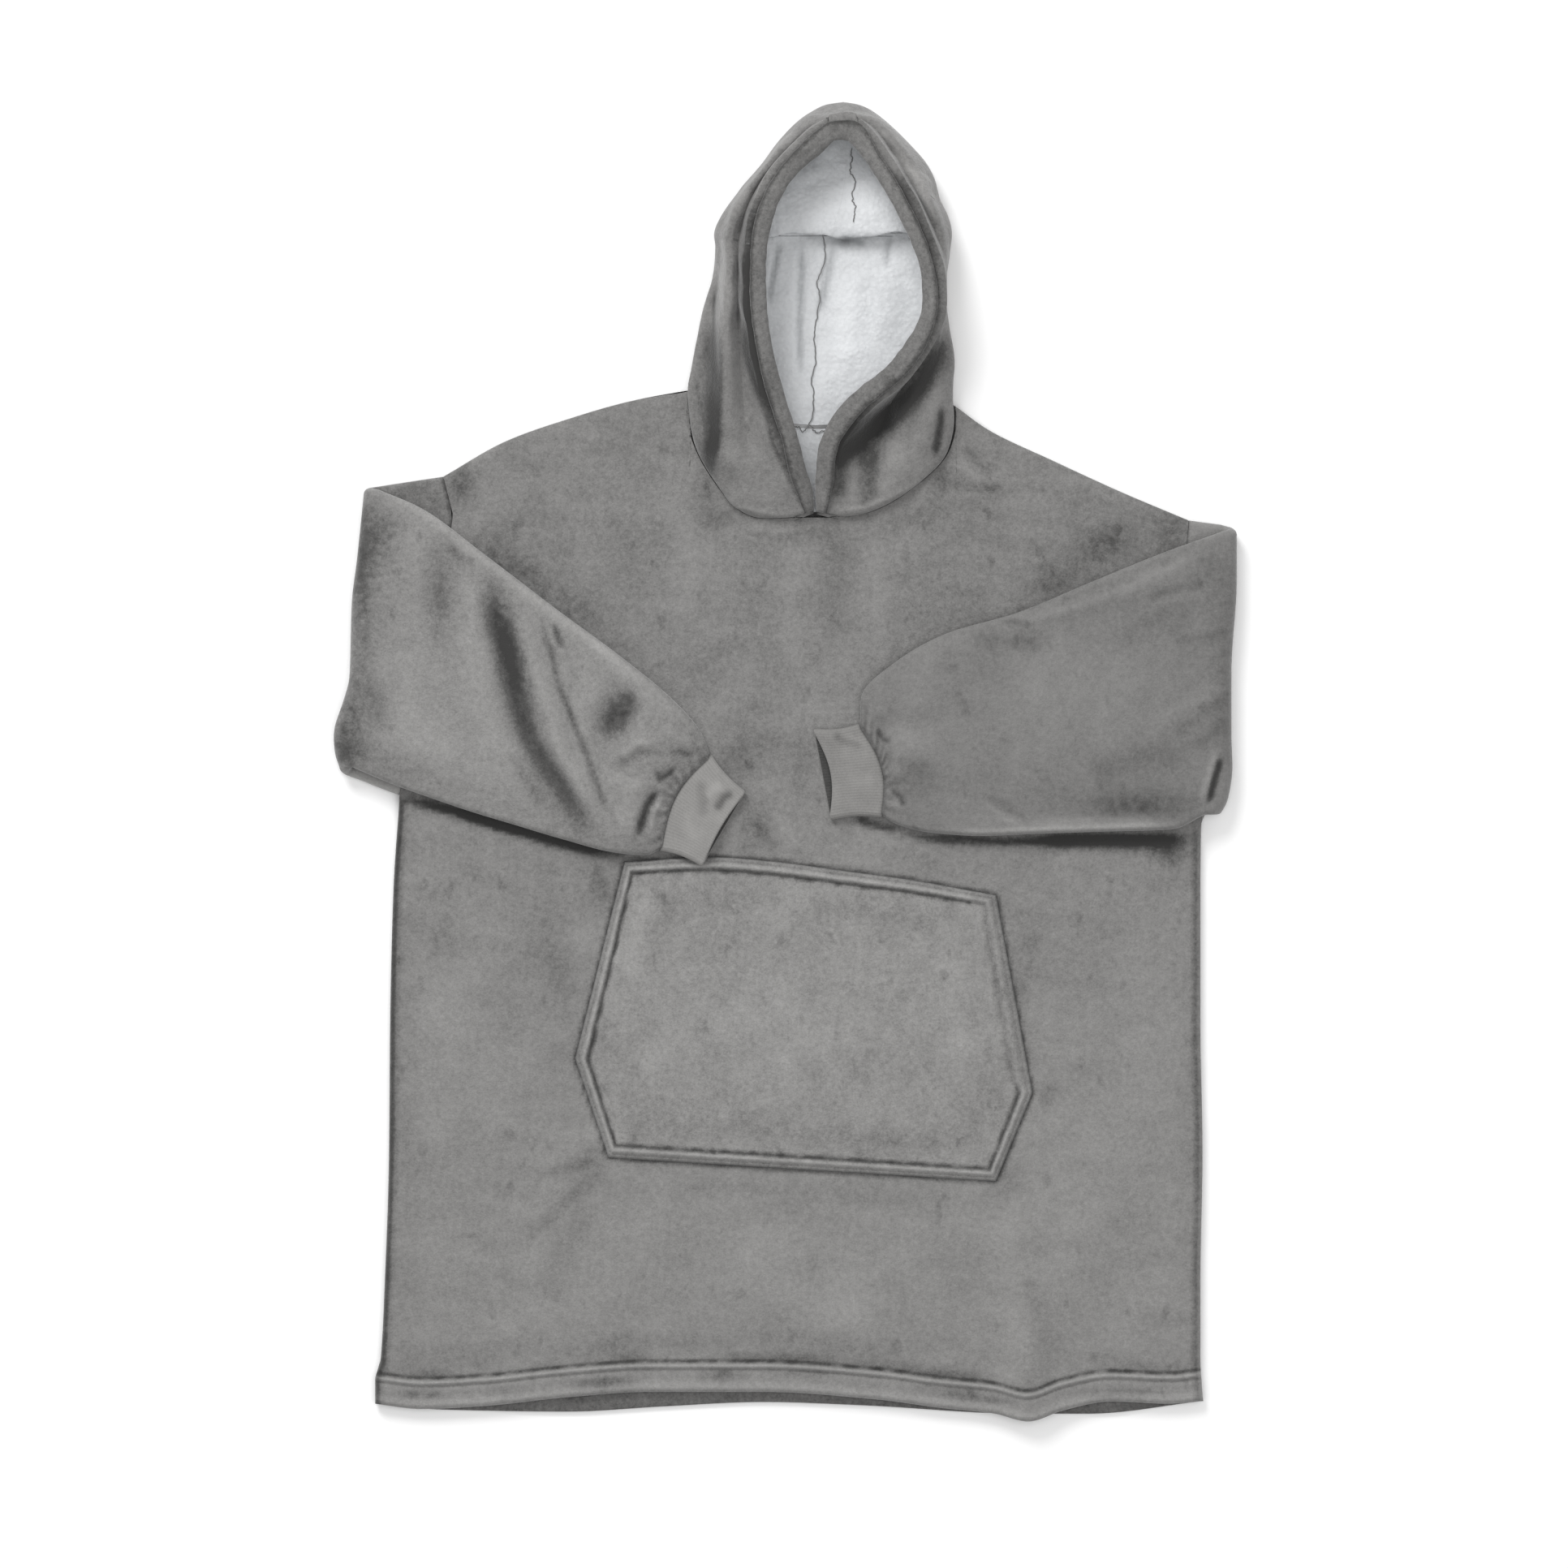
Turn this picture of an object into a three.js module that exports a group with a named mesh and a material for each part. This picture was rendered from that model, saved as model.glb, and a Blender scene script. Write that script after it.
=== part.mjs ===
// A wearable blanket hoodie, laid flat on its back with both sleeves folded over the front.
//
// Millimetres, +Z up. The garment lies on z = 0, its hem towards -Y and its hood towards +Y.
// Right and left are the wearer's, so the right sleeve is on the -X side.
// Every piece that is cut and sewn on is one mesh. Cloth is a wall between an outer and an inner
// grid of points, and neighbouring pieces stay a seam's gap apart.

import * as THREE from "three";

// Cloth
const CLOTH = 5; // plush with its sherpa back
const LAYER_GAP = 2; // air between two layers that lie on each other
const SEAM = 0.3; // between two pieces where they are sewn
const REST = 0.5; // between a piece and what it lies on
const EDGE_RADIUS = CLOTH + LAYER_GAP / 2; // of the rounded edge of two laid layers
const SEAM_HEIGHT = EDGE_RADIUS; // of the side and shoulder seams above the floor
const FRONT_TOP = 2 * EDGE_RADIUS; // outer face of the front panel

// Body
const HEM_DEPTH = 25;
const HEM_BULK = 1.2; // how much the turned hem stands out
const STITCH_GROOVE = 1.4;
const SOFT_EDGE = 4; // how far in from an edge the cloth thins
const HEM_LEVEL = -602; // of the hem, on average
const RIPPLE = { x: 227, width: 26, height: 9, reach: 150 }; // the fold that lifts the front hem

// One row for each place on the outline
const SIDES = [
  { y: -602, right: -384, left: 391 },
  { y: -578, right: -384, left: 389 },
  { y: -560, right: -379, left: 388 },
  { y: -487, right: -375, left: 388 },
  { y: -365, right: -371, left: 390 },
  { y: -244, right: -370, left: 388 },
  { y: -122, right: -367, left: 388 },
  { y: -31, right: -361, left: 389 },
];
const UNDERARM = { right: -31, left: -57 };
const ARMHOLE_DEPTH = { right: 14, left: 5 };
const ARMHOLE = [
  { up: 0, inward: 0 },
  { up: 0.3, inward: 0.7 },
  { up: 0.6, inward: 1 },
  { up: 0.88, inward: 1 },
  { up: 1, inward: 0 },
];
const FRONT_HEM = [
  { x: -385, y: -600 },
  { x: -340, y: -605 },
  { x: -280, y: -602 },
  { x: -204, y: -594 },
  { x: -128, y: -589 },
  { x: -20, y: -589 },
  { x: 85, y: -596 },
  { x: 146, y: -604 },
  { x: 195, y: -609 },
  { x: 227, y: -616 },
  { x: 260, y: -606 },
  { x: 305, y: -598 },
  { x: 359, y: -600 },
  { x: 391, y: -597 },
];
const BACK_HEM = [
  { x: -385, y: -600 },
  { x: -325, y: -606 },
  { x: -204, y: -608 },
  { x: -112, y: -603 },
  { x: -21, y: -599 },
  { x: 70, y: -602 },
  { x: 222, y: -610 },
  { x: 283, y: -610 },
  { x: 391, y: -598 },
];
const SHOULDERS = {
  right: [
    { x: -320, y: 267 },
    { x: -264, y: 299 },
    { x: -203, y: 321 },
    { x: -143, y: 338 },
  ],
  left: [
    { x: 377, y: 226 },
    { x: 313, y: 253 },
    { x: 252, y: 281 },
    { x: 191, y: 310 },
  ],
};

// Places on a body panel: a share of its width from right to left, and of its height from the hem
const NECK_FROM = 0.31; // the neckline's ends
const NECK_TO = 0.69;
const ARMHOLE_FROM = 0.66;
const HEM_ROWS = { front: [0, 2, 5, 19, 21.5, 25, 28.5, 32], back: [0, 2, 5, 25] }; // from the edge
const BODY_ROWS = {
  front: [0.09, 0.17, 0.26, 0.36, 0.46, 0.55, 0.61, 0.65],
  back: [0.16, 0.3, 0.45, 0.61, 0.65],
};
const BODY_COLUMNS = {
  front: { right: [0.04, 0.1, 0.17, 0.24], left: [0.74, 0.77, 0.8, 0.84, 0.9, 0.96] },
  back: { right: [0.06, 0.18], left: [0.8, 0.93] },
};
const ROLL_ANGLES = [0, 40, 90].map(THREE.MathUtils.degToRad); // round a seam's edge, up to the flat

// Hood: section 0 is the neck seam and the last one is the top of the face opening.
// rim is the edge of the opening and side the outermost point, joined by a crease beside the rim,
// a crest and a ledge; centre is a point on the middle seam, which lies on the floor.
// low and high are how far the crease and the ledge bow out towards the shoulder.
const HOOD = {
  right: [
    { rimX: 17, rimY: 232, sideX: -85, sideY: 343, crestZ: 9.5, crease: 0, ledgeZ: 9, low: 43, high: 33 },
    { rimX: 17, rimY: 232, sideX: -85, sideY: 343, crestZ: 17, crease: 0, ledgeZ: 15, low: 43, high: 33 },
    { rimX: 8, rimY: 254, sideX: -87, sideY: 354, crestZ: 30, crease: 7, ledgeZ: 20, low: 34, high: 29 },
    { rimX: -4, rimY: 288, sideX: -85, sideY: 370, crestZ: 43, crease: 13, ledgeZ: 22, low: 20, high: 18 },
    { rimX: -19, rimY: 331, sideX: -81, sideY: 391, crestZ: 53, crease: 18, ledgeZ: 24, low: 9, high: 9 },
    { rimX: -30, rimY: 372, sideX: -75, sideY: 421, crestZ: 60, crease: 18, ledgeZ: 27, low: 3, high: 4 },
    { rimX: -37, rimY: 417, sideX: -66, sideY: 451, crestZ: 63, crease: 15, ledgeZ: 34, low: 0, high: 1 },
    { rimX: -38, rimY: 455, sideX: -63, sideY: 480, crestZ: 64, crease: 12, ledgeZ: 41, low: 0, high: 0 },
    { rimX: -36, rimY: 487, sideX: -64, sideY: 494, crestZ: 63, crease: 10, ledgeZ: 42, low: 0, high: 0 },
    { rimX: -29, rimY: 516, sideX: -57, sideY: 509, crestZ: 61, crease: 8, ledgeZ: 44, low: 0, high: 0 },
    { rimX: -18, rimY: 540, sideX: -41, sideY: 531, crestZ: 58, crease: 6, ledgeZ: 44, low: 0, high: 0 },
    { rimX: -4, rimY: 559, sideX: -21, sideY: 555, crestZ: 54, crease: 4, ledgeZ: 42, low: 0, high: 0 },
    { rimX: 13, rimY: 575, sideX: -3, sideY: 579, crestZ: 51, crease: 2, ledgeZ: 41, low: 0, high: 0 },
    { rimX: 27, rimY: 587, sideX: 18, sideY: 598, crestZ: 52, crease: 0, ledgeZ: 46, low: 0, high: 0 },
    { rimX: 39, rimY: 597, sideX: 43, sideY: 600, crestZ: 58, crease: 0, ledgeZ: 58, low: 0, high: 0 },
  ],
  left: [
    { rimX: 39, rimY: 232, sideX: 153, sideY: 330, crestZ: 9.5, crease: 0, ledgeZ: 9, low: 27, high: 34 },
    { rimX: 39, rimY: 232, sideX: 153, sideY: 330, crestZ: 17, crease: 0, ledgeZ: 16, low: 27, high: 34 },
    { rimX: 45, rimY: 258, sideX: 153, sideY: 340, crestZ: 28, crease: 8, ledgeZ: 24, low: 22, high: 28 },
    { rimX: 50, rimY: 291, sideX: 154, sideY: 356, crestZ: 39, crease: 18, ledgeZ: 31, low: 14, high: 17 },
    { rimX: 72, rimY: 324, sideX: 155, sideY: 379, crestZ: 46, crease: 20, ledgeZ: 36, low: 7, high: 8 },
    { rimX: 114, rimY: 358, sideX: 150, sideY: 408, crestZ: 48, crease: 2, ledgeZ: 38, low: 0, high: 2 },
    { rimX: 145, rimY: 411, sideX: 146, sideY: 444, crestZ: 51, crease: -8, ledgeZ: 38, low: 0, high: 0 },
    { rimX: 145, rimY: 455, sideX: 150, sideY: 474, crestZ: 52, crease: -8, ledgeZ: 40, low: 0, high: 0 },
    { rimX: 135, rimY: 488, sideX: 152, sideY: 494, crestZ: 56, crease: 1, ledgeZ: 42, low: 0, high: 0 },
    { rimX: 122, rimY: 516, sideX: 149, sideY: 508, crestZ: 58, crease: 8, ledgeZ: 44, low: 0, high: 0 },
    { rimX: 109, rimY: 540, sideX: 142, sideY: 523, crestZ: 57, crease: 10, ledgeZ: 44, low: 0, high: 0 },
    { rimX: 97, rimY: 559, sideX: 135, sideY: 547, crestZ: 54, crease: 8, ledgeZ: 42, low: 0, high: 0 },
    { rimX: 86, rimY: 575, sideX: 118, sideY: 570, crestZ: 52, crease: 4, ledgeZ: 41, low: 0, high: 0 },
    { rimX: 76, rimY: 588, sideX: 88, sideY: 597, crestZ: 52, crease: 0, ledgeZ: 46, low: 0, high: 0 },
    { rimX: 66, rimY: 597, sideX: 63, sideY: 600, crestZ: 58, crease: 0, ledgeZ: 58, low: 0, high: 0 },
  ],
  middle: [
    { rimZ: 9.5, sideZ: 6, heelZ: 2.5, centreX: 26, centreY: 315, centreZ: 2.5 },
    { rimZ: 16, sideZ: 12, heelZ: 2.5, centreX: 26, centreY: 320, centreZ: 2.5 },
    { rimZ: 26, sideZ: 16, heelZ: 2.5, centreX: 26, centreY: 336, centreZ: 2.5 },
    { rimZ: 39, sideZ: 18, heelZ: 2.5, centreX: 27, centreY: 358, centreZ: 2.5 },
    { rimZ: 52, sideZ: 20, heelZ: 2.5, centreX: 29, centreY: 387, centreZ: 2.5 },
    { rimZ: 62, sideZ: 21, heelZ: 2.5, centreX: 32, centreY: 422, centreZ: 2.5 },
    { rimZ: 69, sideZ: 23, heelZ: 2.5, centreX: 35, centreY: 456, centreZ: 2.5 },
    { rimZ: 71, sideZ: 24, heelZ: 2.5, centreX: 37, centreY: 482, centreZ: 2.5 },
    { rimZ: 71, sideZ: 24, heelZ: 3, centreX: 40, centreY: 495, centreZ: 3.2 },
    { rimZ: 69, sideZ: 24, heelZ: 6, centreX: 45, centreY: 503, centreZ: 12 },
    { rimZ: 67, sideZ: 24, heelZ: 7, centreX: 51, centreY: 519, centreZ: 13 },
    { rimZ: 64, sideZ: 24, heelZ: 6, centreX: 56, centreY: 550, centreZ: 9 },
    { rimZ: 61, sideZ: 26, heelZ: 8, centreX: 57, centreY: 585, centreZ: 7 },
    { rimZ: 59, sideZ: 36, heelZ: 26, centreX: 54, centreY: 612, centreZ: 27 },
    { rimZ: 58, sideZ: 58, heelZ: 58, centreX: 53, centreY: 601, centreZ: 58 },
  ],
};

// Where each point of a section lies, as a share of the way from rim to side, or side to centre
const CREASE_AT = 0.24;
const CREST_AT = 0.52;
const LEDGE_AT = 0.8;
const HEEL_AT = 0.14;
const FLOOR_AT = 0.5;
const SIDE_INDEX = 4; // of the section's points
const LAST_INDEX = 7;
const LAST_SECTION = HOOD.middle.length - 1;
const HOOD_MIDDLE = [27, 330]; // of the neck seam
const NECK_CLEARANCE = 1.1; // between the neck seam's two sides

// The rows and columns of the hood's grid, as places between its sections and between their points
const HOOD_ROWS = [
  0, 0.6, 1, 1.5, 2, 2.5, 3.2, 4, 5, 6, 7, 7.6, 8.2, 8.8, 9.4, 10, 11, 12, 12.5, 13, 13.5, 14,
];
const HOOD_COLUMNS = [0, 0.5, 1, 1.5, 2, 2.6, 3.2, 3.6, 4, 4.5, 5, 6, 7];

// The rolled hem round the face opening
const RIM_BAND = {
  width: 19,
  thickness: 9,
  standOff: 1.2,
  lift: 2.5,
  tilt: 0.2,
  sides: 10,
  fromRow: 2, // of the hood's grid, above the neck seam
  meetBelow: 300, // where its two ends run side by side
};

// Sleeves: each folded back over the body. top and low are the two laid edges of the tube, and
// fold is the middle of the turn.
const FOLD_RADIUS = 8.5; // of the turn at the fold
const OVER_HEIGHT = FRONT_TOP + REST + EDGE_RADIUS; // middle of the part that lies on the body
const SLEEVE_AIR = 8; // how far the folded sleeve stands off the body between its edges
const SLEEVE_STATIONS = [
  0, 0.5, 1, 1.2, 1.4, 1.6, 1.8, 2, 2.08, 2.18, 2.28, 2.38, 2.48, 2.58, 2.68, 2.77, 2.84, 2.9, 2.95,
  3,
];
const SLEEVE_STEPS = { above: 6, below: 16 }; // the lower layer at the armhole is on top past the fold
const CUFF_WALL = 2.4;
const CUFF_GAP = 3.4;
const CUFF_HALF = CUFF_WALL + CUFF_GAP / 2;
const CUFF_STATIONS = [SEAM / 40, 0.2, 0.45, 0.7, 0.88, 1]; // from the sleeve to the mouth
const CUFF_STEPS = { above: 7, below: 4 };

const SLEEVES = {
  right: {
    outward: -1,
    fold: [
      { y: -10, x: -399 },
      { y: 4, x: -406 },
      { y: 27, x: -408 },
      { y: 49, x: -401 },
      { y: 80, x: -393 },
      { y: 147, x: -391 },
      { y: 189, x: -386 },
      { y: 257, x: -379 },
    ],
    under: { topY: 258, lowY: -18 },
    over: [
      { at: 0, topX: -379, topY: 254, lowX: -399, lowY: -5 },
      { at: 0.14, topX: -340, topY: 237, lowX: -358, lowY: -23 },
      { at: 0.32, topX: -280, topY: 193, lowX: -304, lowY: -43 },
      { at: 0.5, topX: -213, topY: 142, lowX: -252, lowY: -59 },
      { at: 0.68, topX: -152, topY: 97, lowX: -205, lowY: -73 },
      { at: 0.84, topX: -104, topY: 57, lowX: -163, lowY: -84 },
      { at: 0.95, topX: -77, topY: 26, lowX: -130, lowY: -88 },
      { at: 1, topX: -70, topY: 8, lowX: -118, lowY: -83 },
    ],
    cuff: { topX: -38, topY: -27, lowX: -79, lowY: -97, ride: 6, mouth: 3 },
    folds: [
      { fromX: -282, fromY: 190, toX: -165, toY: -92, width: 15, height: -9 },
      { fromX: -318, fromY: 182, toX: -196, toY: -75, width: 24, height: 5 },
      { fromX: -246, fromY: 160, toX: -130, toY: -80, width: 17, height: 6 },
      { fromX: -140, fromY: 74, toX: -178, toY: 10, width: 15, height: -8 },
      { fromX: -228, fromY: 130, toX: -152, toY: -56, width: 7, height: -4 },
      { fromX: -128, fromY: -18, toX: -134, toY: -84, width: 8, height: -6 },
      { fromX: -334, fromY: 200, toX: -322, toY: 120, width: 22, height: -4 },
    ],
    gathers: 5,
  },
  left: {
    outward: 1,
    fold: [
      { y: -48, x: 391 },
      { y: -33, x: 399 },
      { y: -4, x: 403 },
      { y: 25, x: 402 },
      { y: 83, x: 402 },
      { y: 170, x: 407 },
      { y: 214, x: 407 },
    ],
    under: { topY: 222, lowY: -47 },
    over: [
      { at: 0, topX: 407, topY: 215, lowX: 391, lowY: -50 },
      { at: 0.14, topX: 354, topY: 196, lowX: 360, lowY: -63 },
      { at: 0.32, topX: 285, topY: 168, lowX: 296, lowY: -65 },
      { at: 0.5, topX: 215, topY: 139, lowX: 236, lowY: -67 },
      { at: 0.68, topX: 150, topY: 120, lowX: 182, lowY: -69 },
      { at: 0.84, topX: 98, topY: 90, lowX: 136, lowY: -66 },
      { at: 0.95, topX: 70, topY: 60, lowX: 106, lowY: -60 },
      { at: 1, topX: 69, topY: 36, lowX: 91, lowY: -52 },
    ],
    cuff: { topX: 27, topY: 31, lowX: 43, lowY: -54, ride: 0, mouth: 8 },
    folds: [
      { fromX: 404, fromY: 60, toX: 330, toY: 10, width: 14, height: -4 },
      { fromX: 400, fromY: 100, toX: 300, toY: 60, width: 20, height: 4 },
      { fromX: 150, fromY: 60, toX: 120, toY: -20, width: 16, height: 4 },
      { fromX: 400, fromY: -20, toX: 300, toY: -36, width: 18, height: 5 },
      { fromX: 330, fromY: 150, toX: 230, toY: 110, width: 20, height: 3 },
    ],
    gathers: 4,
  },
};

// Back panel's sherpa side inside the neck
const NECK_LINING = { middle: [27, 285], share: 0.94, from: 0.06 };

// Kangaroo pocket
const POCKET_CLOTH = 4;
const POCKET_HEM = 10;
const HAND_HEM = 18; // along the two slanted hand openings
const POCKET_ELBOW = 0.32; // where the hand openings start, as a share of the height
const POCKET_SIZE = { width: 400, height: 270 }; // on average
const POCKET_INSETS = [0, 3, 6.5, 10, 14]; // columns and rows across the hems
const POCKET_COLUMNS = [0.09, 0.23, 0.36, 0.5, 0.64, 0.77, 0.91];
const POCKET_ROWS = [0.14, POCKET_ELBOW, 0.5, 0.7, 0.85];
const POCKET_TOP = [
  { x: -150, y: -94 },
  { x: -68, y: -89.5 },
  { x: -8, y: -94 },
  { x: 52, y: -102 },
  { x: 112, y: -110 },
  { x: 196, y: -125 },
];
const POCKET = {
  bottom: { right: [-165, -369], left: [196, -391] },
  elbow: { right: [-196, -277], left: [230, -309] },
  top: { right: [-150, -94], left: [196, -125] },
};

// Soft folds of the front panel below the sleeves
const FRONT_FOLDS = [
  { fromX: 205, fromY: -420, toX: 226, toY: -600, width: 20, height: 2.5 },
  { fromX: -196, fromY: -425, toX: -250, toY: -510, width: 26, height: 2 },
  { fromX: -320, fromY: -180, toX: -330, toY: -420, width: 30, height: 2 },
  { fromX: 310, fromY: -160, toX: 300, toY: -380, width: 32, height: 2 },
  { fromX: -60, fromY: -520, toX: 90, toY: -570, width: 26, height: 2 },
];

const { lerp, clamp, smoothstep } = THREE.MathUtils;
const point = (x, y, z = 0) => new THREE.Vector3(x, y, z);
const steps = (count) => Array.from({ length: count + 1 }, (_, i) => i / count);

// A smooth function through a table's rows that never overshoots them.
function through(rows, at, of) {
  const x = rows.map((row) => row[at]);
  const y = rows.map((row) => row[of]);
  const rise = x.slice(1).map((value, i) => (y[i + 1] - y[i]) / (value - x[i]));
  const slope = x.map((_, i) => {
    if (i === 0) return rise[0];
    if (i === x.length - 1) return rise[i - 1];
    const product = rise[i - 1] * rise[i];
    return product <= 0 ? 0 : (2 * product) / (rise[i - 1] + rise[i]);
  });
  return (value) => {
    const q = clamp(value, x[0], x[x.length - 1]);
    const i = clamp(x.findIndex((edge) => edge > q) - 1, 0, x.length - 2);
    const k = q >= x[x.length - 1] ? x.length - 2 : i;
    const span = x[k + 1] - x[k];
    const t = (q - x[k]) / span;
    const s = 1 - t;
    return (
      y[k] * (1 + 2 * t) * s * s +
      slope[k] * span * t * s * s +
      y[k + 1] * (3 - 2 * t) * t * t -
      slope[k + 1] * span * t * t * s
    );
  };
}

// The same with straight stretches between the rows.
function straight(rows, at, of) {
  return (value) => {
    const next = clamp(rows.findIndex((row) => row[at] >= value), 1, rows.length - 1);
    const [from, to] = [rows[next - 1], rows[next]];
    return lerp(from[of], to[of], clamp((value - from[at]) / (to[at] - from[at]), 0, 1));
  };
}

const curve = (points) => new THREE.CatmullRomCurve3(points);

// A point of the armhole, up from 0 at the underarm to 1 at the tip of the shoulder.
function armhole(side, up) {
  const tip = SHOULDERS[side][0];
  const inward = ARMHOLE_DEPTH[side] * straight(ARMHOLE, "up", "inward")(up);
  const bottom = through(SIDES, "y", side)(UNDERARM[side]);
  const x = lerp(bottom, tip.x, up) - SLEEVES[side].outward * inward;
  return point(x, lerp(UNDERARM[side], tip.y, up));
}

// Height that a row of a fold table adds at a point: a soft ridge, or a trough if it is negative.
function foldHeight(fold, x, y) {
  const dx = fold.toX - fold.fromX;
  const dy = fold.toY - fold.fromY;
  const length = Math.hypot(dx, dy);
  const along = ((x - fold.fromX) * dx + (y - fold.fromY) * dy) / (length * length);
  const off = ((x - fold.fromX) * dy - (y - fold.fromY) * dx) / length;
  const ends = smoothstep(along, -0.1, 0.25) * (1 - smoothstep(along, 0.75, 1.1));
  return fold.height * ends * Math.exp(-((off / fold.width) ** 2));
}

const foldsAt = (folds, x, y) =>
  folds.reduce((sum, fold) => sum + foldHeight(fold, x, y), 0);

// A closed wall between two grids of points, outer[row][column] and inner[row][column].
// Where the columns run all the way round, only the first and last rows are closed by a rim.
function wall(outer, inner, round = false) {
  const rows = outer.length;
  const columns = outer[0].length;
  const positions = [...outer.flat(), ...inner.flat()].flatMap((p) => [p.x, p.y, p.z]);
  const index = [];
  const at = (layer, i, j) => layer * rows * columns + i * columns + (j % columns);
  const quad = (a, b, c, d) => index.push(a, b, c, a, c, d);
  const last = round ? columns : columns - 1;
  for (let i = 0; i < rows - 1; i++)
    for (let j = 0; j < last; j++) {
      quad(at(0, i, j), at(0, i, j + 1), at(0, i + 1, j + 1), at(0, i + 1, j));
      quad(at(1, i, j), at(1, i + 1, j), at(1, i + 1, j + 1), at(1, i, j + 1));
    }
  for (let j = 0; j < last; j++) {
    quad(at(0, 0, j), at(1, 0, j), at(1, 0, j + 1), at(0, 0, j + 1));
    const end = rows - 1;
    quad(at(0, end, j), at(0, end, j + 1), at(1, end, j + 1), at(1, end, j));
  }
  for (let i = 0; i < rows - 1 && !round; i++) {
    quad(at(0, i, 0), at(0, i + 1, 0), at(1, i + 1, 0), at(1, i, 0));
    const end = columns - 1;
    quad(at(0, i, end), at(1, i, end), at(1, i + 1, end), at(0, i + 1, end));
  }
  return facingOut(positions, index);
}

// A closed solid swept through rings of points, with a flat fan over each end.
function rod(rings) {
  const count = rings[0].length;
  const positions = rings.flat().flatMap((p) => [p.x, p.y, p.z]);
  const index = [];
  const at = (i, j) => i * count + (j % count);
  for (let i = 0; i < rings.length - 1; i++)
    for (let j = 0; j < count; j++)
      index.push(at(i, j), at(i, j + 1), at(i + 1, j + 1), at(i, j), at(i + 1, j + 1), at(i + 1, j));
  for (let j = 1; j < count - 1; j++) {
    index.push(at(0, 0), at(0, j + 1), at(0, j));
    index.push(at(rings.length - 1, 0), at(rings.length - 1, j), at(rings.length - 1, j + 1));
  }
  return facingOut(positions, index);
}

// A geometry whose faces point out, whichever way round its grid ran.
function facingOut(positions, index) {
  const corner = (k) => point(...positions.slice(3 * k, 3 * k + 3));
  let volume = 0;
  for (let i = 0; i < index.length; i += 3)
    volume += corner(index[i]).dot(corner(index[i + 1]).cross(corner(index[i + 2])));
  if (volume < 0) for (let i = 0; i < index.length; i += 3) index.splice(i, 2, index[i + 1], index[i]);
  const geometry = new THREE.BufferGeometry();
  geometry.setAttribute("position", new THREE.Float32BufferAttribute(positions, 3));
  geometry.setIndex(index);
  geometry.computeVertexNormals();
  return geometry;
}

// Hood

// One half of a hood section: eight points from the rim, over the side, to the middle seam.
function hoodSection(half, number) {
  const row = HOOD[half][number];
  const middle = HOOD.middle[number];
  const rim = point(row.rimX, row.rimY);
  const side = point(row.sideX, row.sideY);
  const centre = point(middle.centreX, middle.centreY);
  const out = side.clone().sub(rim).normalize();
  const bow = point(out.y, -out.x).multiplyScalar(half === "right" ? -1 : 1);
  const on = (from, to, share, z) => from.clone().lerp(to, share).setZ(z);
  const heel = on(side, centre, HEEL_AT, middle.heelZ);
  const floor = on(side, centre, FLOOR_AT, lerp(middle.heelZ, middle.centreZ, 0.8));
  heel.y = lerp(heel.y, middle.centreY, 0.25);
  floor.y = lerp(floor.y, middle.centreY, 0.6);
  return [
    rim.clone().setZ(middle.rimZ),
    on(rim, side, CREASE_AT, row.crestZ - row.crease).addScaledVector(bow, 0.85 * row.low),
    on(rim, side, CREST_AT, row.crestZ).addScaledVector(bow, (row.low + row.high) / 2),
    on(rim, side, LEDGE_AT, row.ledgeZ).addScaledVector(bow, 0.8 * row.high),
    side.clone().setZ(middle.sideZ),
    heel,
    floor,
    centre.clone().setZ(middle.centreZ),
  ];
}

const hoodCurves = {};
for (const half of ["right", "left"])
  hoodCurves[half] = HOOD[half].map((_, number) => curve(hoodSection(half, number)));

// The middle of the hood's cloth at each row and column.
function hoodMiddle(half) {
  return HOOD_ROWS.map((row) =>
    HOOD_COLUMNS.map((index) => {
      const across = curve(hoodCurves[half].map((section) => section.getPoint(index / LAST_INDEX)));
      const p = across.getPoint(row / LAST_SECTION);
      p.z = Math.max(p.z, CLOTH / 2);
      return p;
    }),
  );
}

// Normals of a grid: at each point, the mean of the facets that meet there.
function gridNormals(grid) {
  const facet = (i, j) => {
    const [a, b, c, d] = [grid[i][j], grid[i][j + 1], grid[i + 1][j + 1], grid[i + 1][j]];
    return c.clone().sub(a).cross(b.clone().sub(d)).normalize();
  };
  return grid.map((row, i) =>
    row.map((_, j) => {
      const sum = point(0, 0);
      for (const m of [i - 1, i])
        for (const n of [j - 1, j])
          if (m >= 0 && n >= 0 && m < grid.length - 1 && n < row.length - 1) sum.add(facet(m, n));
      return sum.normalize();
    }),
  );
}

const hoodGrids = { right: hoodMiddle("right"), left: hoodMiddle("left") };
const hoodNormals = {
  right: gridNormals(hoodGrids.right),
  left: gridNormals(hoodGrids.left).map((row) => row.map((normal) => normal.negate())),
};
// Both halves turn alike along the middle seam.
hoodNormals.right.forEach((row, i) => {
  const other = hoodNormals.left[i];
  const shared = row.at(-1).clone().add(other.at(-1)).setX(0).normalize();
  row[row.length - 1] = shared;
  other[other.length - 1] = shared;
});

// A layer of one hood half between two distances from the middle of the cloth.
function hoodLayer(half, from, to) {
  const towardsSeam = half === "right" ? -SEAM / 2 : SEAM / 2;
  const grid = (distance) =>
    hoodGrids[half].map((row, i) =>
      row.map((middle, j) => {
        const p = middle.clone().addScaledVector(hoodNormals[half][i][j], distance);
        if (j === row.length - 1) p.x += towardsSeam;
        p.z = Math.max(p.z, 0);
        return p;
      }),
    );
  return wall(grid(to), grid(from));
}

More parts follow.
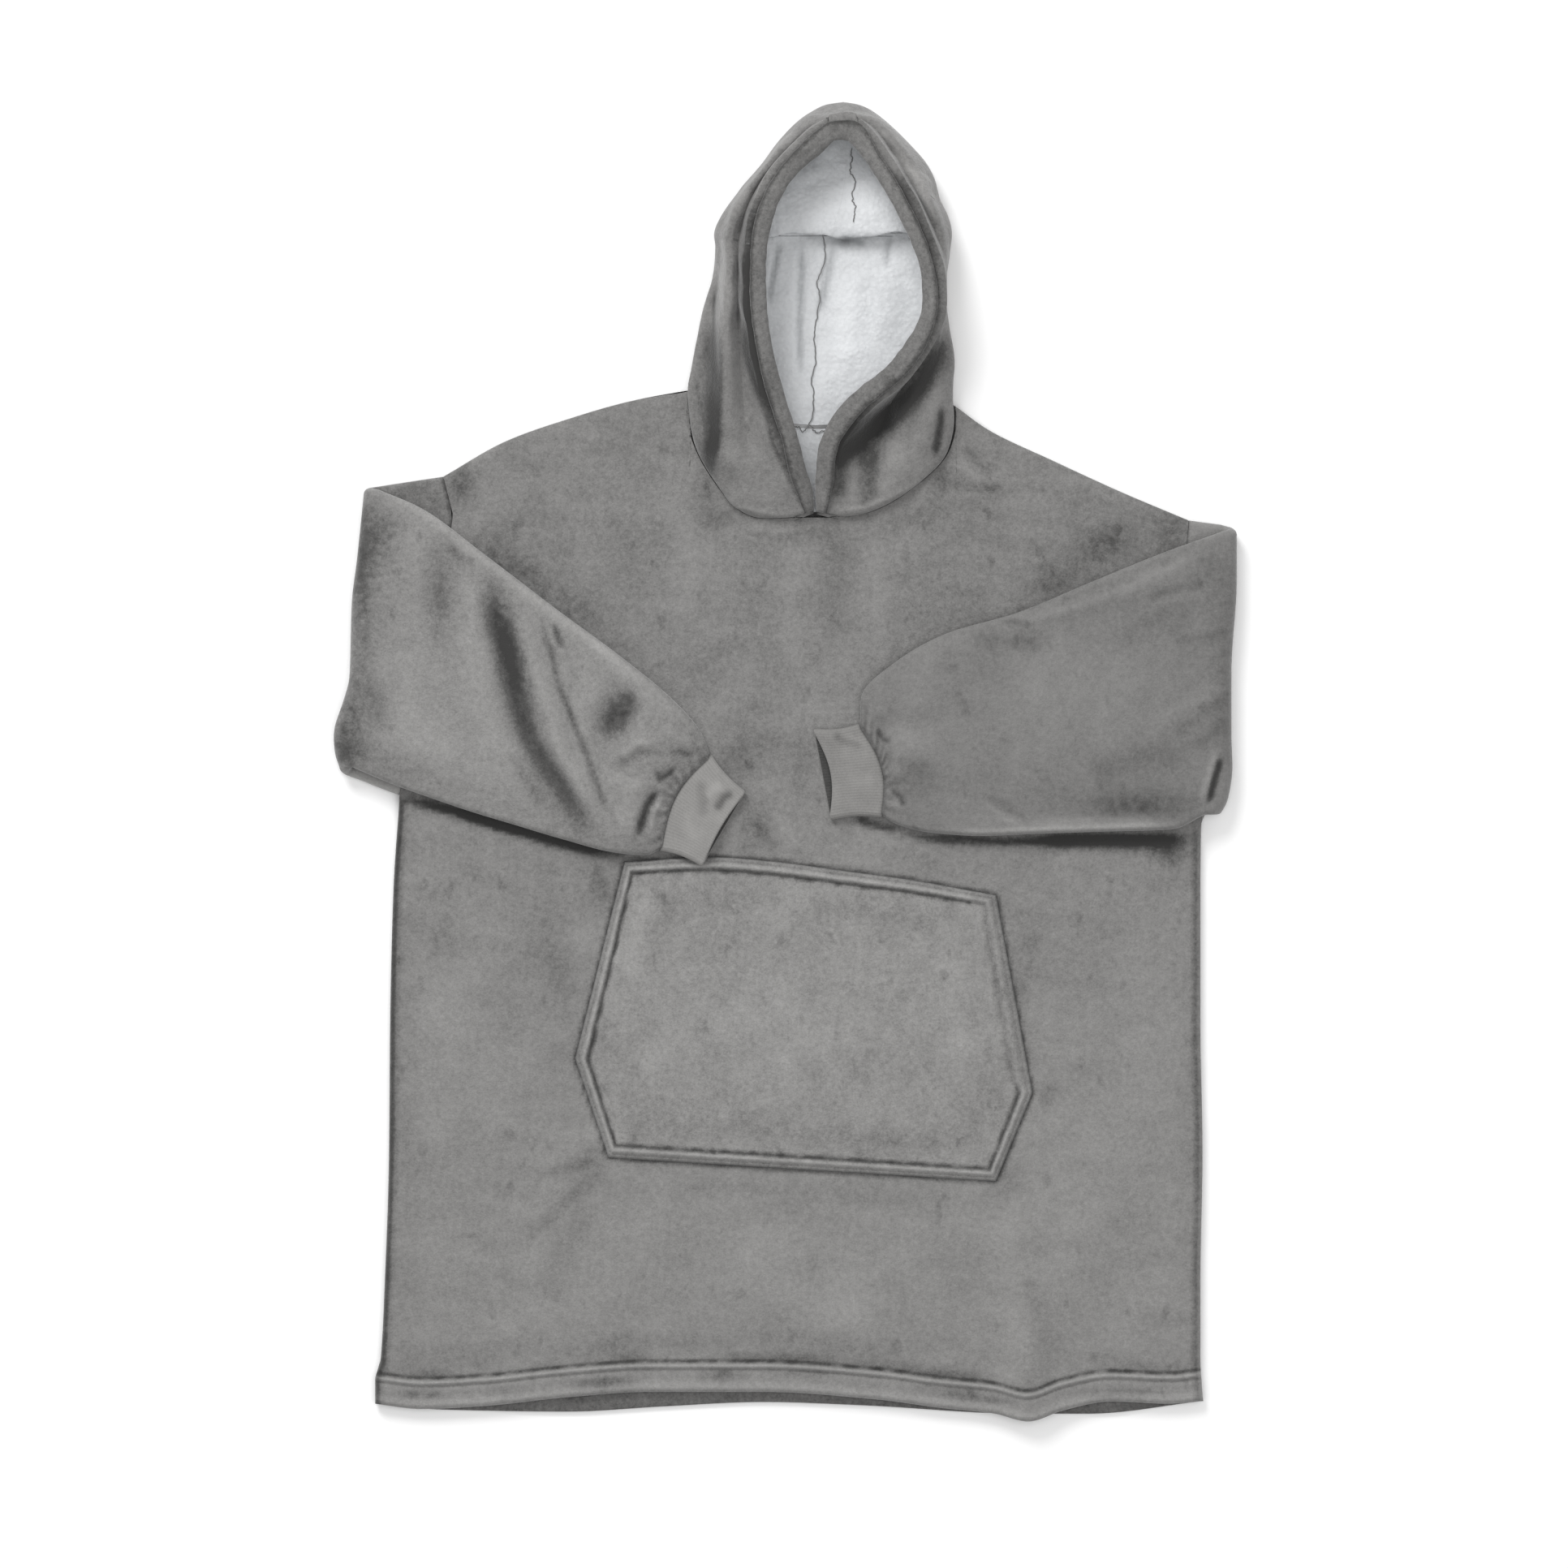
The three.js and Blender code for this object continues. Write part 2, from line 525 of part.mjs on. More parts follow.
// The rolled hem that finishes the face opening, from the neck, over the top, to the neck again.
function rimBand() {
  const edge = (half) => hoodGrids[half].slice(RIM_BAND.fromRow).map((row) => row[0]);
  const top = point(HOOD.middle.at(-1).centreX, HOOD.middle.at(-1).centreY, HOOD.middle.at(-1).rimZ);
  const path = [...edge("right"), top, ...edge("left").reverse()];
  const around = steps(RIM_BAND.sides).slice(0, -1);
  const rings = path.map((at, i) => {
    const tangent = path[Math.min(i + 1, path.length - 1)].clone().sub(path[Math.max(i - 1, 0)]);
    const inward = point(tangent.y, -tangent.x).normalize();
    const other = path[path.length - 1 - i];
    const room = Math.hypot(at.x - other.x, at.y - other.y) / 2 - RIM_BAND.standOff - SEAM;
    const width = at.y < RIM_BAND.meetBelow ? Math.min(RIM_BAND.width, room) : RIM_BAND.width;
    const centre = at.clone().addScaledVector(inward, width / 2 + RIM_BAND.standOff);
    centre.z += RIM_BAND.lift;
    return around.map((share) => {
      const angle = share * 2 * Math.PI;
      const rounded = (value) => Math.sign(value) * Math.abs(value) ** 0.7;
      const w = (rounded(Math.cos(angle)) * width) / 2;
      const h = (rounded(Math.sin(angle)) * RIM_BAND.thickness) / 2;
      return centre.clone().addScaledVector(inward, w).add(point(0, 0, h - w * RIM_BAND.tilt));
    });
  });
  return rod(rings);
}

// Body

// The neck seam seen from above, moved out to clear the hood's cloth: one point for each column of
// the hood's grid, from the right shoulder to the left one, round the front or round the back.
function neckline(part) {
  const inFront = part === "front";
  const edge = (half) => {
    const row = hoodGrids[half][0];
    const columns = HOOD_COLUMNS.map((index, j) => ({ index, j })).filter(({ index }) =>
      inFront ? index <= SIDE_INDEX : index >= SIDE_INDEX,
    );
    return columns.map(({ index, j }) => {
      const along = row[Math.min(j + 1, row.length - 1)].clone().sub(row[Math.max(j - 1, 0)]);
      const out = point(along.y, -along.x).normalize();
      const away = index > SIDE_INDEX ? point(0, -1) : row[j].clone().setZ(0).sub(point(...HOOD_MIDDLE));
      if (out.dot(away) < 0) out.negate();
      const normal = hoodNormals[half][0][j];
      const cloth = Math.hypot(normal.x, normal.y) * (CLOTH / 2);
      const clearance = NECK_CLEARANCE * (1 + 2 * smoothstep(index, SIDE_INDEX - 1.4, SIDE_INDEX));
      return row[j].clone().setZ(0).addScaledVector(out, cloth + clearance);
    });
  };
  const right = edge("right");
  const left = edge("left");
  return inFront
    ? [...right.reverse(), ...left]
    : [...right.slice(0, -1), right.at(-1).lerp(left.at(-1), 0.5), ...left.reverse().slice(1)];
}

// Outline of a body panel as a patch: a runs across from right to left, b from hem to shoulders.
// neckAt holds the a of each point of the neckline.
function bodyOutline(hem, neck) {
  const neckAt = neck.map((_, i) => lerp(NECK_FROM, NECK_TO, i / (neck.length - 1)));
  const shoulder = (side) => SHOULDERS[side].map((row) => point(row.x, row.y));
  const rightShoulder = curve([...shoulder("right"), neck[0]]);
  const leftShoulder = curve([neck.at(-1), ...shoulder("left").reverse()]);
  const hemY = through(hem, "x", "y");
  const sideX = { right: through(SIDES, "y", "right"), left: through(SIDES, "y", "left") };
  const lowest = SIDES[0].y;

  const edge = (side, b) => {
    if (b > ARMHOLE_FROM) return armhole(side, (b - ARMHOLE_FROM) / (1 - ARMHOLE_FROM));
    const y = lerp(hemY(sideX[side](lowest)), UNDERARM[side], b / ARMHOLE_FROM);
    return point(sideX[side](y), y);
  };
  const top = (a) => {
    if (a <= NECK_FROM) return rightShoulder.getPointAt(a / NECK_FROM);
    if (a >= NECK_TO) return leftShoulder.getPointAt((a - NECK_TO) / (1 - NECK_TO));
    const next = neckAt.findIndex((at) => at >= a);
    const share = (a - neckAt[next - 1]) / (neckAt[next] - neckAt[next - 1]);
    return neck[next - 1].clone().lerp(neck[next], share);
  };
  const bottom = (a) => {
    const x = lerp(sideX.right(lowest), sideX.left(lowest), a);
    return point(x, hemY(x));
  };
  const at = (a, b) => {
    const p = edge("right", b).multiplyScalar(1 - a).addScaledVector(edge("left", b), a);
    p.addScaledVector(bottom(a), 1 - b).addScaledVector(top(a), b);
    p.addScaledVector(bottom(0), -(1 - a) * (1 - b)).addScaledVector(bottom(1), -a * (1 - b));
    return p.addScaledVector(top(0), -(1 - a) * b).addScaledVector(top(1), -a * b);
  };
  return {
    at,
    neckAt,
    width: (b) => edge("left", b).x - edge("right", b).x,
    height: (a) => top(a).y - bottom(a).y,
  };
}

// How far the front panel's cloth is lifted off the layer below it.
function frontRise(x, y) {
  const fromHem = y - HEM_LEVEL;
  const ripple =
    RIPPLE.height *
    Math.exp(-(((x - RIPPLE.x) / RIPPLE.width) ** 2)) *
    (1 - smoothstep(fromHem, 0, RIPPLE.reach));
  const below = 1 - smoothstep(y, -180, -110);
  return ripple + below * Math.max(0, foldsAt(FRONT_FOLDS, x, y));
}

// Relief of a turned hem, by distance from the edge: bulk up to two rows of stitches.
function hemRelief(distance, depth, bulk) {
  const groove = (at) => STITCH_GROOVE * Math.exp(-(((distance - at) / 1.8) ** 2));
  const ridge = 0.8 * Math.exp(-(((distance - depth) / 2.2) ** 2));
  const turned = bulk * (1 - smoothstep(distance, depth, depth + 5));
  return turned + ridge - groove(depth - 4) - groove(depth + 4);
}

// A body panel: the front lies over the back, and both roll to the seams at the sides and shoulders.
function bodyPanel(outline, upper, hemDistances, flatRows, flatColumns) {
  const columns = [
    ...ROLL_ANGLES.map((angle) => ({ edge: -1, angle })),
    ...flatColumns.map((a) => ({ edge: 0, a })),
    ...ROLL_ANGLES.map((angle) => ({ edge: 1, angle })).reverse(),
  ];
  const rows = [
    ...hemDistances.map((distance) => ({ distance })),
    ...flatRows.map((b) => ({ b })),
    ...[...ROLL_ANGLES].reverse().map((angle) => ({ angle })),
  ];
  const place = (column, row, radius) => {
    const b0 = row.angle === undefined ? (row.b ?? 0) : 1;
    const sewn = 1 - smoothstep(b0, ARMHOLE_FROM - 0.05, ARMHOLE_FROM - 0.01);
    const inset = (angle, share) => EDGE_RADIUS - lerp(EDGE_RADIUS, radius, share) * Math.cos(angle);
    const rolled = (angle, share) => lerp(1, Math.sin(angle), share);
    let a = column.a;
    let lift = 1;
    if (column.edge !== 0) {
      const share = inset(column.angle, sewn) / outline.width(b0);
      a = column.edge < 0 ? share : 1 - share;
      lift *= rolled(column.angle, sewn);
    }
    const shoulder = smoothstep(Math.abs(a - 0.5), 0.5 - NECK_FROM, 0.55 - NECK_FROM);
    let b = row.b;
    if (row.angle !== undefined) {
      b = 1 - (1.1 * inset(row.angle, shoulder)) / outline.height(a);
      lift *= rolled(row.angle, shoulder);
    }
    if (row.distance !== undefined) b = row.distance / outline.height(a);
    const p = outline.at(a, b);
    const distance = b * outline.height(a);
    let height = SEAM / 2 + radius * lift;
    const outside = radius === EDGE_RADIUS;
    const soft = 1 - smoothstep(distance, 0, SOFT_EDGE);
    height += lift * (outside ? -0.3 : 0.3) * CLOTH * soft ** 2;
    if (upper) {
      if (outside) height += lift * hemRelief(distance, HEM_DEPTH, HEM_BULK) * (1 - soft ** 2);
      height += lift * frontRise(p.x, p.y);
    }
    p.z = SEAM_HEIGHT + (upper ? height : -height);
    p.z = Math.max(p.z, 0);
    return p;
  };
  const grid = (radius) => rows.map((row) => columns.map((column) => place(column, row, radius)));
  return wall(grid(EDGE_RADIUS), grid(EDGE_RADIUS - CLOTH));
}

// Pocket

// A patch between the pocket's outline, a across from right to left and b from bottom to top.
function pocketAt(a, b) {
  const edge = (side) => {
    const low = b < POCKET_ELBOW;
    const share = low ? b / POCKET_ELBOW : (b - POCKET_ELBOW) / (1 - POCKET_ELBOW);
    const [from, to] = low ? [POCKET.bottom, POCKET.elbow] : [POCKET.elbow, POCKET.top];
    return point(...from[side]).lerp(point(...to[side]), share);
  };
  const p = edge("right").lerp(edge("left"), a);
  const corners = point(...POCKET.top.right).lerp(point(...POCKET.top.left), a);
  p.y += b * b * (through(POCKET_TOP, "x", "y")(corners.x) - corners.y);
  return p;
}

function pocketPanel() {
  const { width, height } = POCKET_SIZE;
  const places = (inner, size) => [
    ...POCKET_INSETS.map((inset) => inset / size),
    ...inner,
    ...POCKET_INSETS.map((inset) => 1 - inset / size).reverse(),
  ];
  const across = places(POCKET_COLUMNS, width);
  const up = places(POCKET_ROWS, height);
  const hems = (POCKET_INSETS.at(-1) + 0.1) / width;
  const grid = (outside) =>
    up.map((b) =>
      across.map((a) => {
        const side = Math.min(a, 1 - a);
        const sideHem = b > POCKET_ELBOW ? HAND_HEM : POCKET_HEM;
        const scaled = side < hems ? (side * sideHem) / POCKET_HEM : side;
        const p = pocketAt(a < 0.5 ? scaled : 1 - scaled, b);
        const fromSide = side * width;
        const fromEnd = Math.min(b, 1 - b) * height;
        const nearest = Math.min(fromSide, fromEnd);
        p.z = FRONT_TOP + SEAM / 2 + REST + frontRise(p.x, p.y);
        if (!outside) return p;
        const soft = (1 - clamp(nearest / POCKET_INSETS[1], 0, 1)) ** 2;
        p.z += POCKET_CLOTH * (1 - 0.5 * soft) + (1 - soft) * hemRelief(nearest, POCKET_HEM / 1.5, 1);
        return p;
      }),
    );
  return wall(grid(true), grid(false));
}

// Sleeves

// The middle of the flattened tube: w runs from its low edge, -1, to its top edge, 1.
// u runs from 0 at the armhole to 1 at the fold, to 2 past the turn, and to 3 at the cuff.
function sleeveMiddle(side, u, w) {
  const sleeve = SLEEVES[side];
  const inset = (low, top) => {
    const edge = Math.min(EDGE_RADIUS / low.distanceTo(top), 0.4);
    return lerp(edge, 1 - edge, (w + 1) / 2);
  };
  const foldX = through(sleeve.fold, "y", "x");
  const atFold = (row) => {
    const share = inset(point(foldX(row.lowY), row.lowY), point(foldX(row.topY), row.topY));
    const y = lerp(row.lowY, row.topY, share);
    return point(foldX(y), y);
  };
  if (u <= 1) {
    const sewn = armhole(side, inset(armhole(side, 0), armhole(side, 1)));
    sewn.x += sleeve.outward * SEAM;
    return sewn.lerp(atFold(sleeve.under), u).setZ(SEAM_HEIGHT);
  }
  if (u <= 2) {
    const angle = (u - 1) * Math.PI;
    const out = point(sleeve.outward * FOLD_RADIUS * Math.sin(angle), 0);
    const p = atFold(sleeve.under).lerp(atFold(sleeve.over[0]), u - 1).add(out);
    return p.setZ(SEAM_HEIGHT + FOLD_RADIUS * (1 - Math.cos(angle)));
  }
  const t = u - 2;
  const value = (column) => through(sleeve.over, "at", column)(t);
  const low = point(value("lowX"), value("lowY"));
  const top = point(value("topX"), value("topY"));
  const share = inset(low, top);
  const first = sleeve.over[0];
  const bend = atFold(first).x - lerp(first.lowX, first.topX, share);
  const settled = lerp(SEAM_HEIGHT + 2 * FOLD_RADIUS, OVER_HEIGHT, smoothstep(t, 0, 0.3));
  const cuffHeight = FRONT_TOP + REST + CUFF_HALF + 0.6;
  const p = low.lerp(top, share);
  p.x += bend * (1 - smoothstep(t, 0, 0.3));
  return p.setZ(lerp(settled, cuffHeight, smoothstep(t, 0.84, 1)));
}

// Half the thickness of the laid tube and of the air inside it.
const sleeveHalf = (u) => lerp(EDGE_RADIUS, CUFF_HALF + 0.4, smoothstep(u, 2.84, 3));
const sleeveAir = (u) => lerp(LAYER_GAP / 2, CUFF_GAP / 2, smoothstep(u, 2.84, 3));

// Folds and gathers, which lift both layers of the tube together.
function sleeveRise(sleeve, u, w, p) {
  if (u <= 2) return 0;
  const t = u - 2;
  const settled = smoothstep(t, 0.02, 0.2) * (1 - smoothstep(t, 0.82, 0.98));
  const folds = Math.max(0, SLEEVE_AIR + foldsAt(sleeve.folds, p.x, p.y)) * settled;
  const wave = 0.5 - 0.5 * Math.cos(sleeve.gathers * Math.PI * (w + 1));
  const gathered = smoothstep(t, 0.78, 0.93) * (1 - smoothstep(t, 0.95, 1));
  return folds + 4 * wave * gathered * (1 - w ** 6);
}

// A ring round the laid tube, at a distance from its middle: the top layer, an edge, the bottom
// layer and the other edge.
function laidRing(middle, normal, distance, { above, below }, rise = () => 0) {
  const across = (count) => steps(count).map((t) => 2 * t - 1);
  const layer = (w, side) =>
    middle(w).addScaledVector(normal(w), side * distance).add(point(0, 0, rise(w)));
  const edge = (w) => {
    const out = middle(w).sub(middle(w * 0.9)).normalize();
    const angles = [36, -36].map(THREE.MathUtils.degToRad);
    return (w > 0 ? angles : angles.reverse()).map((angle) =>
      middle(w)
        .addScaledVector(normal(w), distance * Math.sin(angle))
        .addScaledVector(out, distance * Math.cos(angle))
        .add(point(0, 0, rise(w))),
    );
  };
  return [
    ...across(above).map((w) => layer(w, 1)),
    ...edge(1),
    ...across(below).reverse().map((w) => layer(w, -1)),
    ...edge(-1),
  ];
}

function sleeveNormal(side, u, w) {
  const du = 0.01;
  const dw = 0.02;
  const [u0, u1] = [Math.max(u - du, 0), Math.min(u + du, 3)];
  const [w0, w1] = [Math.max(w - dw, -1), Math.min(w + dw, 1)];
  const alongU = sleeveMiddle(side, u1, w).sub(sleeveMiddle(side, u0, w));
  const alongW = sleeveMiddle(side, u, w1).sub(sleeveMiddle(side, u, w0));
  return alongU.cross(alongW).multiplyScalar(SLEEVES[side].outward).normalize();
}

function sleeveTube(side) {
  const grid = (half) =>
    SLEEVE_STATIONS.map((u) => {
      const middle = (w) => sleeveMiddle(side, u, w);
      const rise = (w) => sleeveRise(SLEEVES[side], u, w, middle(w));
      return laidRing(middle, (w) => sleeveNormal(side, u, w), half(u), SLEEVE_STEPS, rise);
    });
  return wall(grid(sleeveHalf), grid(sleeveAir), true);
}

// The ribbed cuff, from the end of the sleeve to its open mouth.
function cuffTube(sleeve) {
  const seam = sleeve.over.at(-1);
  const mouth = sleeve.cuff;
  const seamLow = point(seam.lowX, seam.lowY);
  const seamTop = point(seam.topX, seam.topY);
  const mouthLow = point(mouth.lowX, mouth.lowY);
  const mouthTop = point(mouth.topX, mouth.topY);
  const height = FRONT_TOP + REST + CUFF_HALF;
  const middleAt = (q, w) => {
    const low = seamLow.clone().lerp(mouthLow, q);
    const top = seamTop.clone().lerp(mouthTop, q);
    const across = top.clone().sub(low);
    const edge = CUFF_HALF / across.length();
    const waist = 1 - 0.06 * Math.sin(Math.PI * q);
    const share = 0.5 + 0.5 * w * (1 - 2 * edge) * waist;
    const ride = mouth.ride * smoothstep(q, 0.1, 0.75) * smoothstep(-w, -0.6, 0.7);
    return low.addScaledVector(across, share).setZ(height + ride);
  };
  const along = mouthLow.clone().add(mouthTop).sub(seamLow).sub(seamTop).normalize();
  const grid = (distance) =>
    CUFF_STATIONS.map((q) => {
      const ring = laidRing((w) => middleAt(q, w), () => point(0, 0, 1), distance, CUFF_STEPS);
      const open = mouth.mouth * smoothstep(q, 0.7, 1);
      return ring.map((p, k) => {
        const share = Math.min(k / CUFF_STEPS.above, 1);
        return p.addScaledVector(along, -open * Math.sin(Math.PI * share));
      });
    });
  return wall(grid(CUFF_HALF), grid(CUFF_GAP / 2), true);
}

// The sherpa side of the back panel, which shows inside the neck.
function neckLining() {
  const shrink = (points, towards) =>
    points.map((p) => point(...towards).lerp(p, NECK_LINING.share).setZ(0));
  const front = curve(shrink(neckline("front"), NECK_LINING.middle));
  const back = curve(shrink(neckline("back"), NECK_LINING.middle));
  const bottom = CLOTH + SEAM;
  const top = 2 * EDGE_RADIUS - CLOTH - SEAM;
  const layer = (z) =>
    steps(5).map((b) =>
      steps(14).map((a) => {
        const at = lerp(NECK_LINING.from, 1 - NECK_LINING.from, a);
        return front.getPointAt(at).lerp(back.getPointAt(at), lerp(0.03, 0.97, b)).setZ(z);
      }),
    );
  return wall(layer(top), layer(bottom));
}

const finish = (colour, roughness) =>
  new THREE.MeshStandardMaterial({ color: colour, roughness, metalness: 0 });
const PLUSH = finish(0x858482, 0.9);
const RIB = finish(0x8f8e8c, 0.85);
const SHERPA = finish(0xe3e4e5, 1);

const hoodie = new THREE.Group();
function add(name, geometry, material) {
  const mesh = new THREE.Mesh(geometry, material);
  mesh.name = name;
  hoodie.add(mesh);
}

const armholeRows = ARMHOLE.slice(0, -1).map((row) => lerp(ARMHOLE_FROM, 1, row.up));
for (const [name, hem] of [["front", FRONT_HEM], ["back", BACK_HEM]]) {
  const outline = bodyOutline(hem, neckline(name));
  const rows = [...BODY_ROWS[name], ...armholeRows];
  const sides = BODY_COLUMNS[name];
  const columns = [...sides.right, ...outline.neckAt, ...sides.left];
  add(name, bodyPanel(outline, name === "front", HEM_ROWS[name], rows, columns), PLUSH);
}
add("pocket", pocketPanel(), PLUSH);
add("back_neck_lining", neckLining(), SHERPA);
for (const half of ["right", "left"]) {
  add(`sleeve_${half}`, sleeveTube(half), PLUSH);
  add(`cuff_${half}`, cuffTube(SLEEVES[half]), RIB);
  add(`hood_${half}`, hoodLayer(half, SEAM / 2, CLOTH / 2), PLUSH);
  add(`hood_lining_${half}`, hoodLayer(half, -CLOTH / 2, -SEAM / 2), SHERPA);
}
add("hood_hem", rimBand(), PLUSH);

export default hoodie;
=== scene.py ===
# %% [markdown]
# # A wearable blanket hoodie, laid flat
#
# The real thing is a very wide hoodie in short plush with a curly sherpa back. It lies on its
# back, and both sleeves are folded over the chest. Cloth this soft keeps few hard edges: its look
# comes from wide, uneven folds and from pile that is brushed light in one place and dark in
# another. Each cut piece becomes one fine mesh on the form of its imported solid, and its folds are
# given one by one.

import bpy
import numpy as np
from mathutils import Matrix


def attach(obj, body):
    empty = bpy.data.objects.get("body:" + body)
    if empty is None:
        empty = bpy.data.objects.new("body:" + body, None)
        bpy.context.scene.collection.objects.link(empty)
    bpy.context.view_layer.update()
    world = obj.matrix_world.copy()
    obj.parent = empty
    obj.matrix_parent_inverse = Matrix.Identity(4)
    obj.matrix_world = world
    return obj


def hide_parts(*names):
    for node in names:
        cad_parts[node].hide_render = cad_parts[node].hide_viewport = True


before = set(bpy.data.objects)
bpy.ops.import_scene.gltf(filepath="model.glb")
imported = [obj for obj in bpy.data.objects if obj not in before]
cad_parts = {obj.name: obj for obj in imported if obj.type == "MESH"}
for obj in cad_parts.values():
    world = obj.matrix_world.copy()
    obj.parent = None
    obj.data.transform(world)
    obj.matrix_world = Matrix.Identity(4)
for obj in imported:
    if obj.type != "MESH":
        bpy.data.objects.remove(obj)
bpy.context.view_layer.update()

# %% [markdown]
# ## Sizes
#
# All lengths are in millimetres, and the meshes turn them into metres at the end. The plush is
# 5 mm thick with its sherpa back, and two laid layers make an edge with a 6 mm radius. Places that
# were read off the photograph are kept as its pixels, and one function turns them into
# millimetres, so that a fold can be checked against the picture.

# %% Sizes of the cloth and the photograph's scale
CLOTH = 5.0  # plush with its sherpa back
SEAM = 0.3  # open width at a seam
TOUCHING = 0.02  # half the gap between two halves that are sewn together
REST = 0.5  # room below a piece that lies on another
EDGE_RADIUS = 6.0  # two laid layers roll round this
SEAM_HEIGHT = 6.0  # the side seam's height off the floor
FRONT_TOP = 12.0  # top of the body's two layers
PIXEL = 0.76  # millimetres a pixel
PHOTO_ORIGIN = np.array([968.0, 939.0])  # the pixel at x = 0, y = 0


def place(pixels):
    """Millimetres on the floor for points given as the photograph's pixels."""
    pixels = np.asarray(pixels, float)
    return np.stack([pixels[..., 0] - PHOTO_ORIGIN[0], PHOTO_ORIGIN[1] - pixels[..., 1]], -1) * PIXEL


print("body width", round(float(place((1480, 0))[0] - place((485, 0))[0])), "mm")

# %% [markdown]
# ## Curves through a few known places
#
# A garment's outline is a handful of measured places with a smooth line between them. `through`
# is a table's smooth function that never overshoots, `spline` is a smooth path through points in
# space, and `even` walks such a path at an even pace. They are written out here, because the same
# curves shape the solids, and cloth and solid have to agree.

# %% Smooth tables and paths
def lerp(a, b, t):
    return a + (b - a) * t


def smoothstep(x, low, high):
    t = np.clip((x - low) / (high - low), 0, 1)
    return t * t * (3 - 2 * t)


def mark(distance, at, width):
    """A soft line: 1 where distance is at, fading to nothing two widths away."""
    return np.exp(-(((distance - at) / width) ** 2))


def through(x, y):
    x, y = np.asarray(x, float), np.asarray(y, float)
    rise = np.diff(y) / np.diff(x)
    slope = np.concatenate([rise[:1], rise[1:], rise[-1:]])
    product = rise[:-1] * rise[1:]
    total = np.where(product > 0, rise[:-1] + rise[1:], 1)
    slope[1:-1] = np.where(product > 0, 2 * product / total, 0)

    def value(q):
        q = np.clip(q, x[0], x[-1])
        k = np.clip(np.searchsorted(x, q, side="right") - 1, 0, len(x) - 2)
        span = x[k + 1] - x[k]
        t = (q - x[k]) / span
        s = 1 - t
        start = y[k] * (1 + 2 * t) * s * s + slope[k] * span * t * s * s
        return start + y[k + 1] * (3 - 2 * t) * t * t - slope[k + 1] * span * t * t * s

    return value


def spline(points, t):
    points = np.asarray(points, float)
    spare = np.concatenate([[2 * points[0] - points[1]], points, [2 * points[-1] - points[-2]]])
    at = np.clip(np.asarray(t, float), 0, 1) * (len(points) - 1)
    k = np.minimum(at.astype(int), len(points) - 2)
    w = (at - k).reshape(-1, *[1] * (points.ndim - 1))
    a, b, c, d = (spare[k + i] for i in range(4))
    gap = [np.sqrt(np.linalg.norm(q - p, axis=-1, keepdims=True)) for p, q in ((a, b), (b, c), (c, d))]
    g1 = np.where(gap[1] < 1e-4, 1, gap[1])
    g0, g2 = (np.where(g < 1e-4, g1, g) for g in (gap[0], gap[2]))
    start = ((b - a) / g0 - (c - a) / (g0 + g1) + (c - b) / g1) * g1
    end = ((c - b) / g1 - (d - b) / (g1 + g2) + (d - c) / g2) * g1
    bend = 3 * (c - b) - 2 * start - end
    return b + start * w + bend * w**2 + (2 * (b - c) + start + end) * w**3


def even(points):
    dense = spline(points, np.linspace(0, 1, 400))
    run = np.concatenate([[0], np.cumsum(np.linalg.norm(np.diff(dense, axis=0), axis=1))])

    def at(t):
        q = np.clip(t, 0, 1) * run[-1]
        return np.stack([np.interp(q, run, dense[:, i]) for i in range(dense.shape[1])], -1)

    return at


def unit(v):
    return v / np.maximum(np.linalg.norm(v, axis=-1, keepdims=True), 1e-9)


print("halfway between 0 and 10:", through([0, 1, 2], [0, 5, 10])(1.0))

# %% [markdown]
# ## The garment's measured places
#
# Each table holds the same few sizes that shape the solids. A hood section runs from the edge of
# the face opening over the side to the middle seam on the floor. Section 0 is the neck seam and
# section 14 the top of the opening.

# %% Body tables
SIDES = np.array([  # y, right x, left x
    [-602, -384, 391], [-578, -384, 389], [-560, -379, 388], [-487, -375, 388],
    [-365, -371, 390], [-244, -370, 388], [-122, -367, 388], [-31, -361, 389],
])
SIDE_X = {"right": through(SIDES[:, 0], SIDES[:, 1]), "left": through(SIDES[:, 0], SIDES[:, 2])}
OUTWARD = {"right": -1, "left": 1}
UNDERARM = {"right": -31, "left": -57}
ARMHOLE_DEPTH = {"right": 14, "left": 5}
ARMHOLE_UP = [0, 0.3, 0.6, 0.88, 1]
ARMHOLE_IN = [0, 0.7, 1, 1, 0]
HEMS = {  # x, y
    "front": [(-385, -600), (-340, -605), (-280, -602), (-204, -594), (-128, -589), (-20, -589),
              (85, -596), (146, -604), (195, -609), (227, -616), (260, -606), (305, -598),
              (359, -600), (391, -597)],
    "back": [(-385, -600), (-325, -606), (-204, -608), (-112, -603), (-21, -599), (70, -602),
             (222, -610), (283, -610), (391, -598)],
}
SHOULDERS = {
    "right": [(-320, 267), (-264, 299), (-203, 321), (-143, 338)],
    "left": [(377, 226), (313, 253), (252, 281), (191, 310)],
}
NECK_FROM, NECK_TO, ARMHOLE_FROM = 0.31, 0.69, 0.66
NECK_CLEARANCE = 1.1
HOOD_MIDDLE = np.array([27.0, 330.0])
print("hem", len(HEMS["front"]), "places")

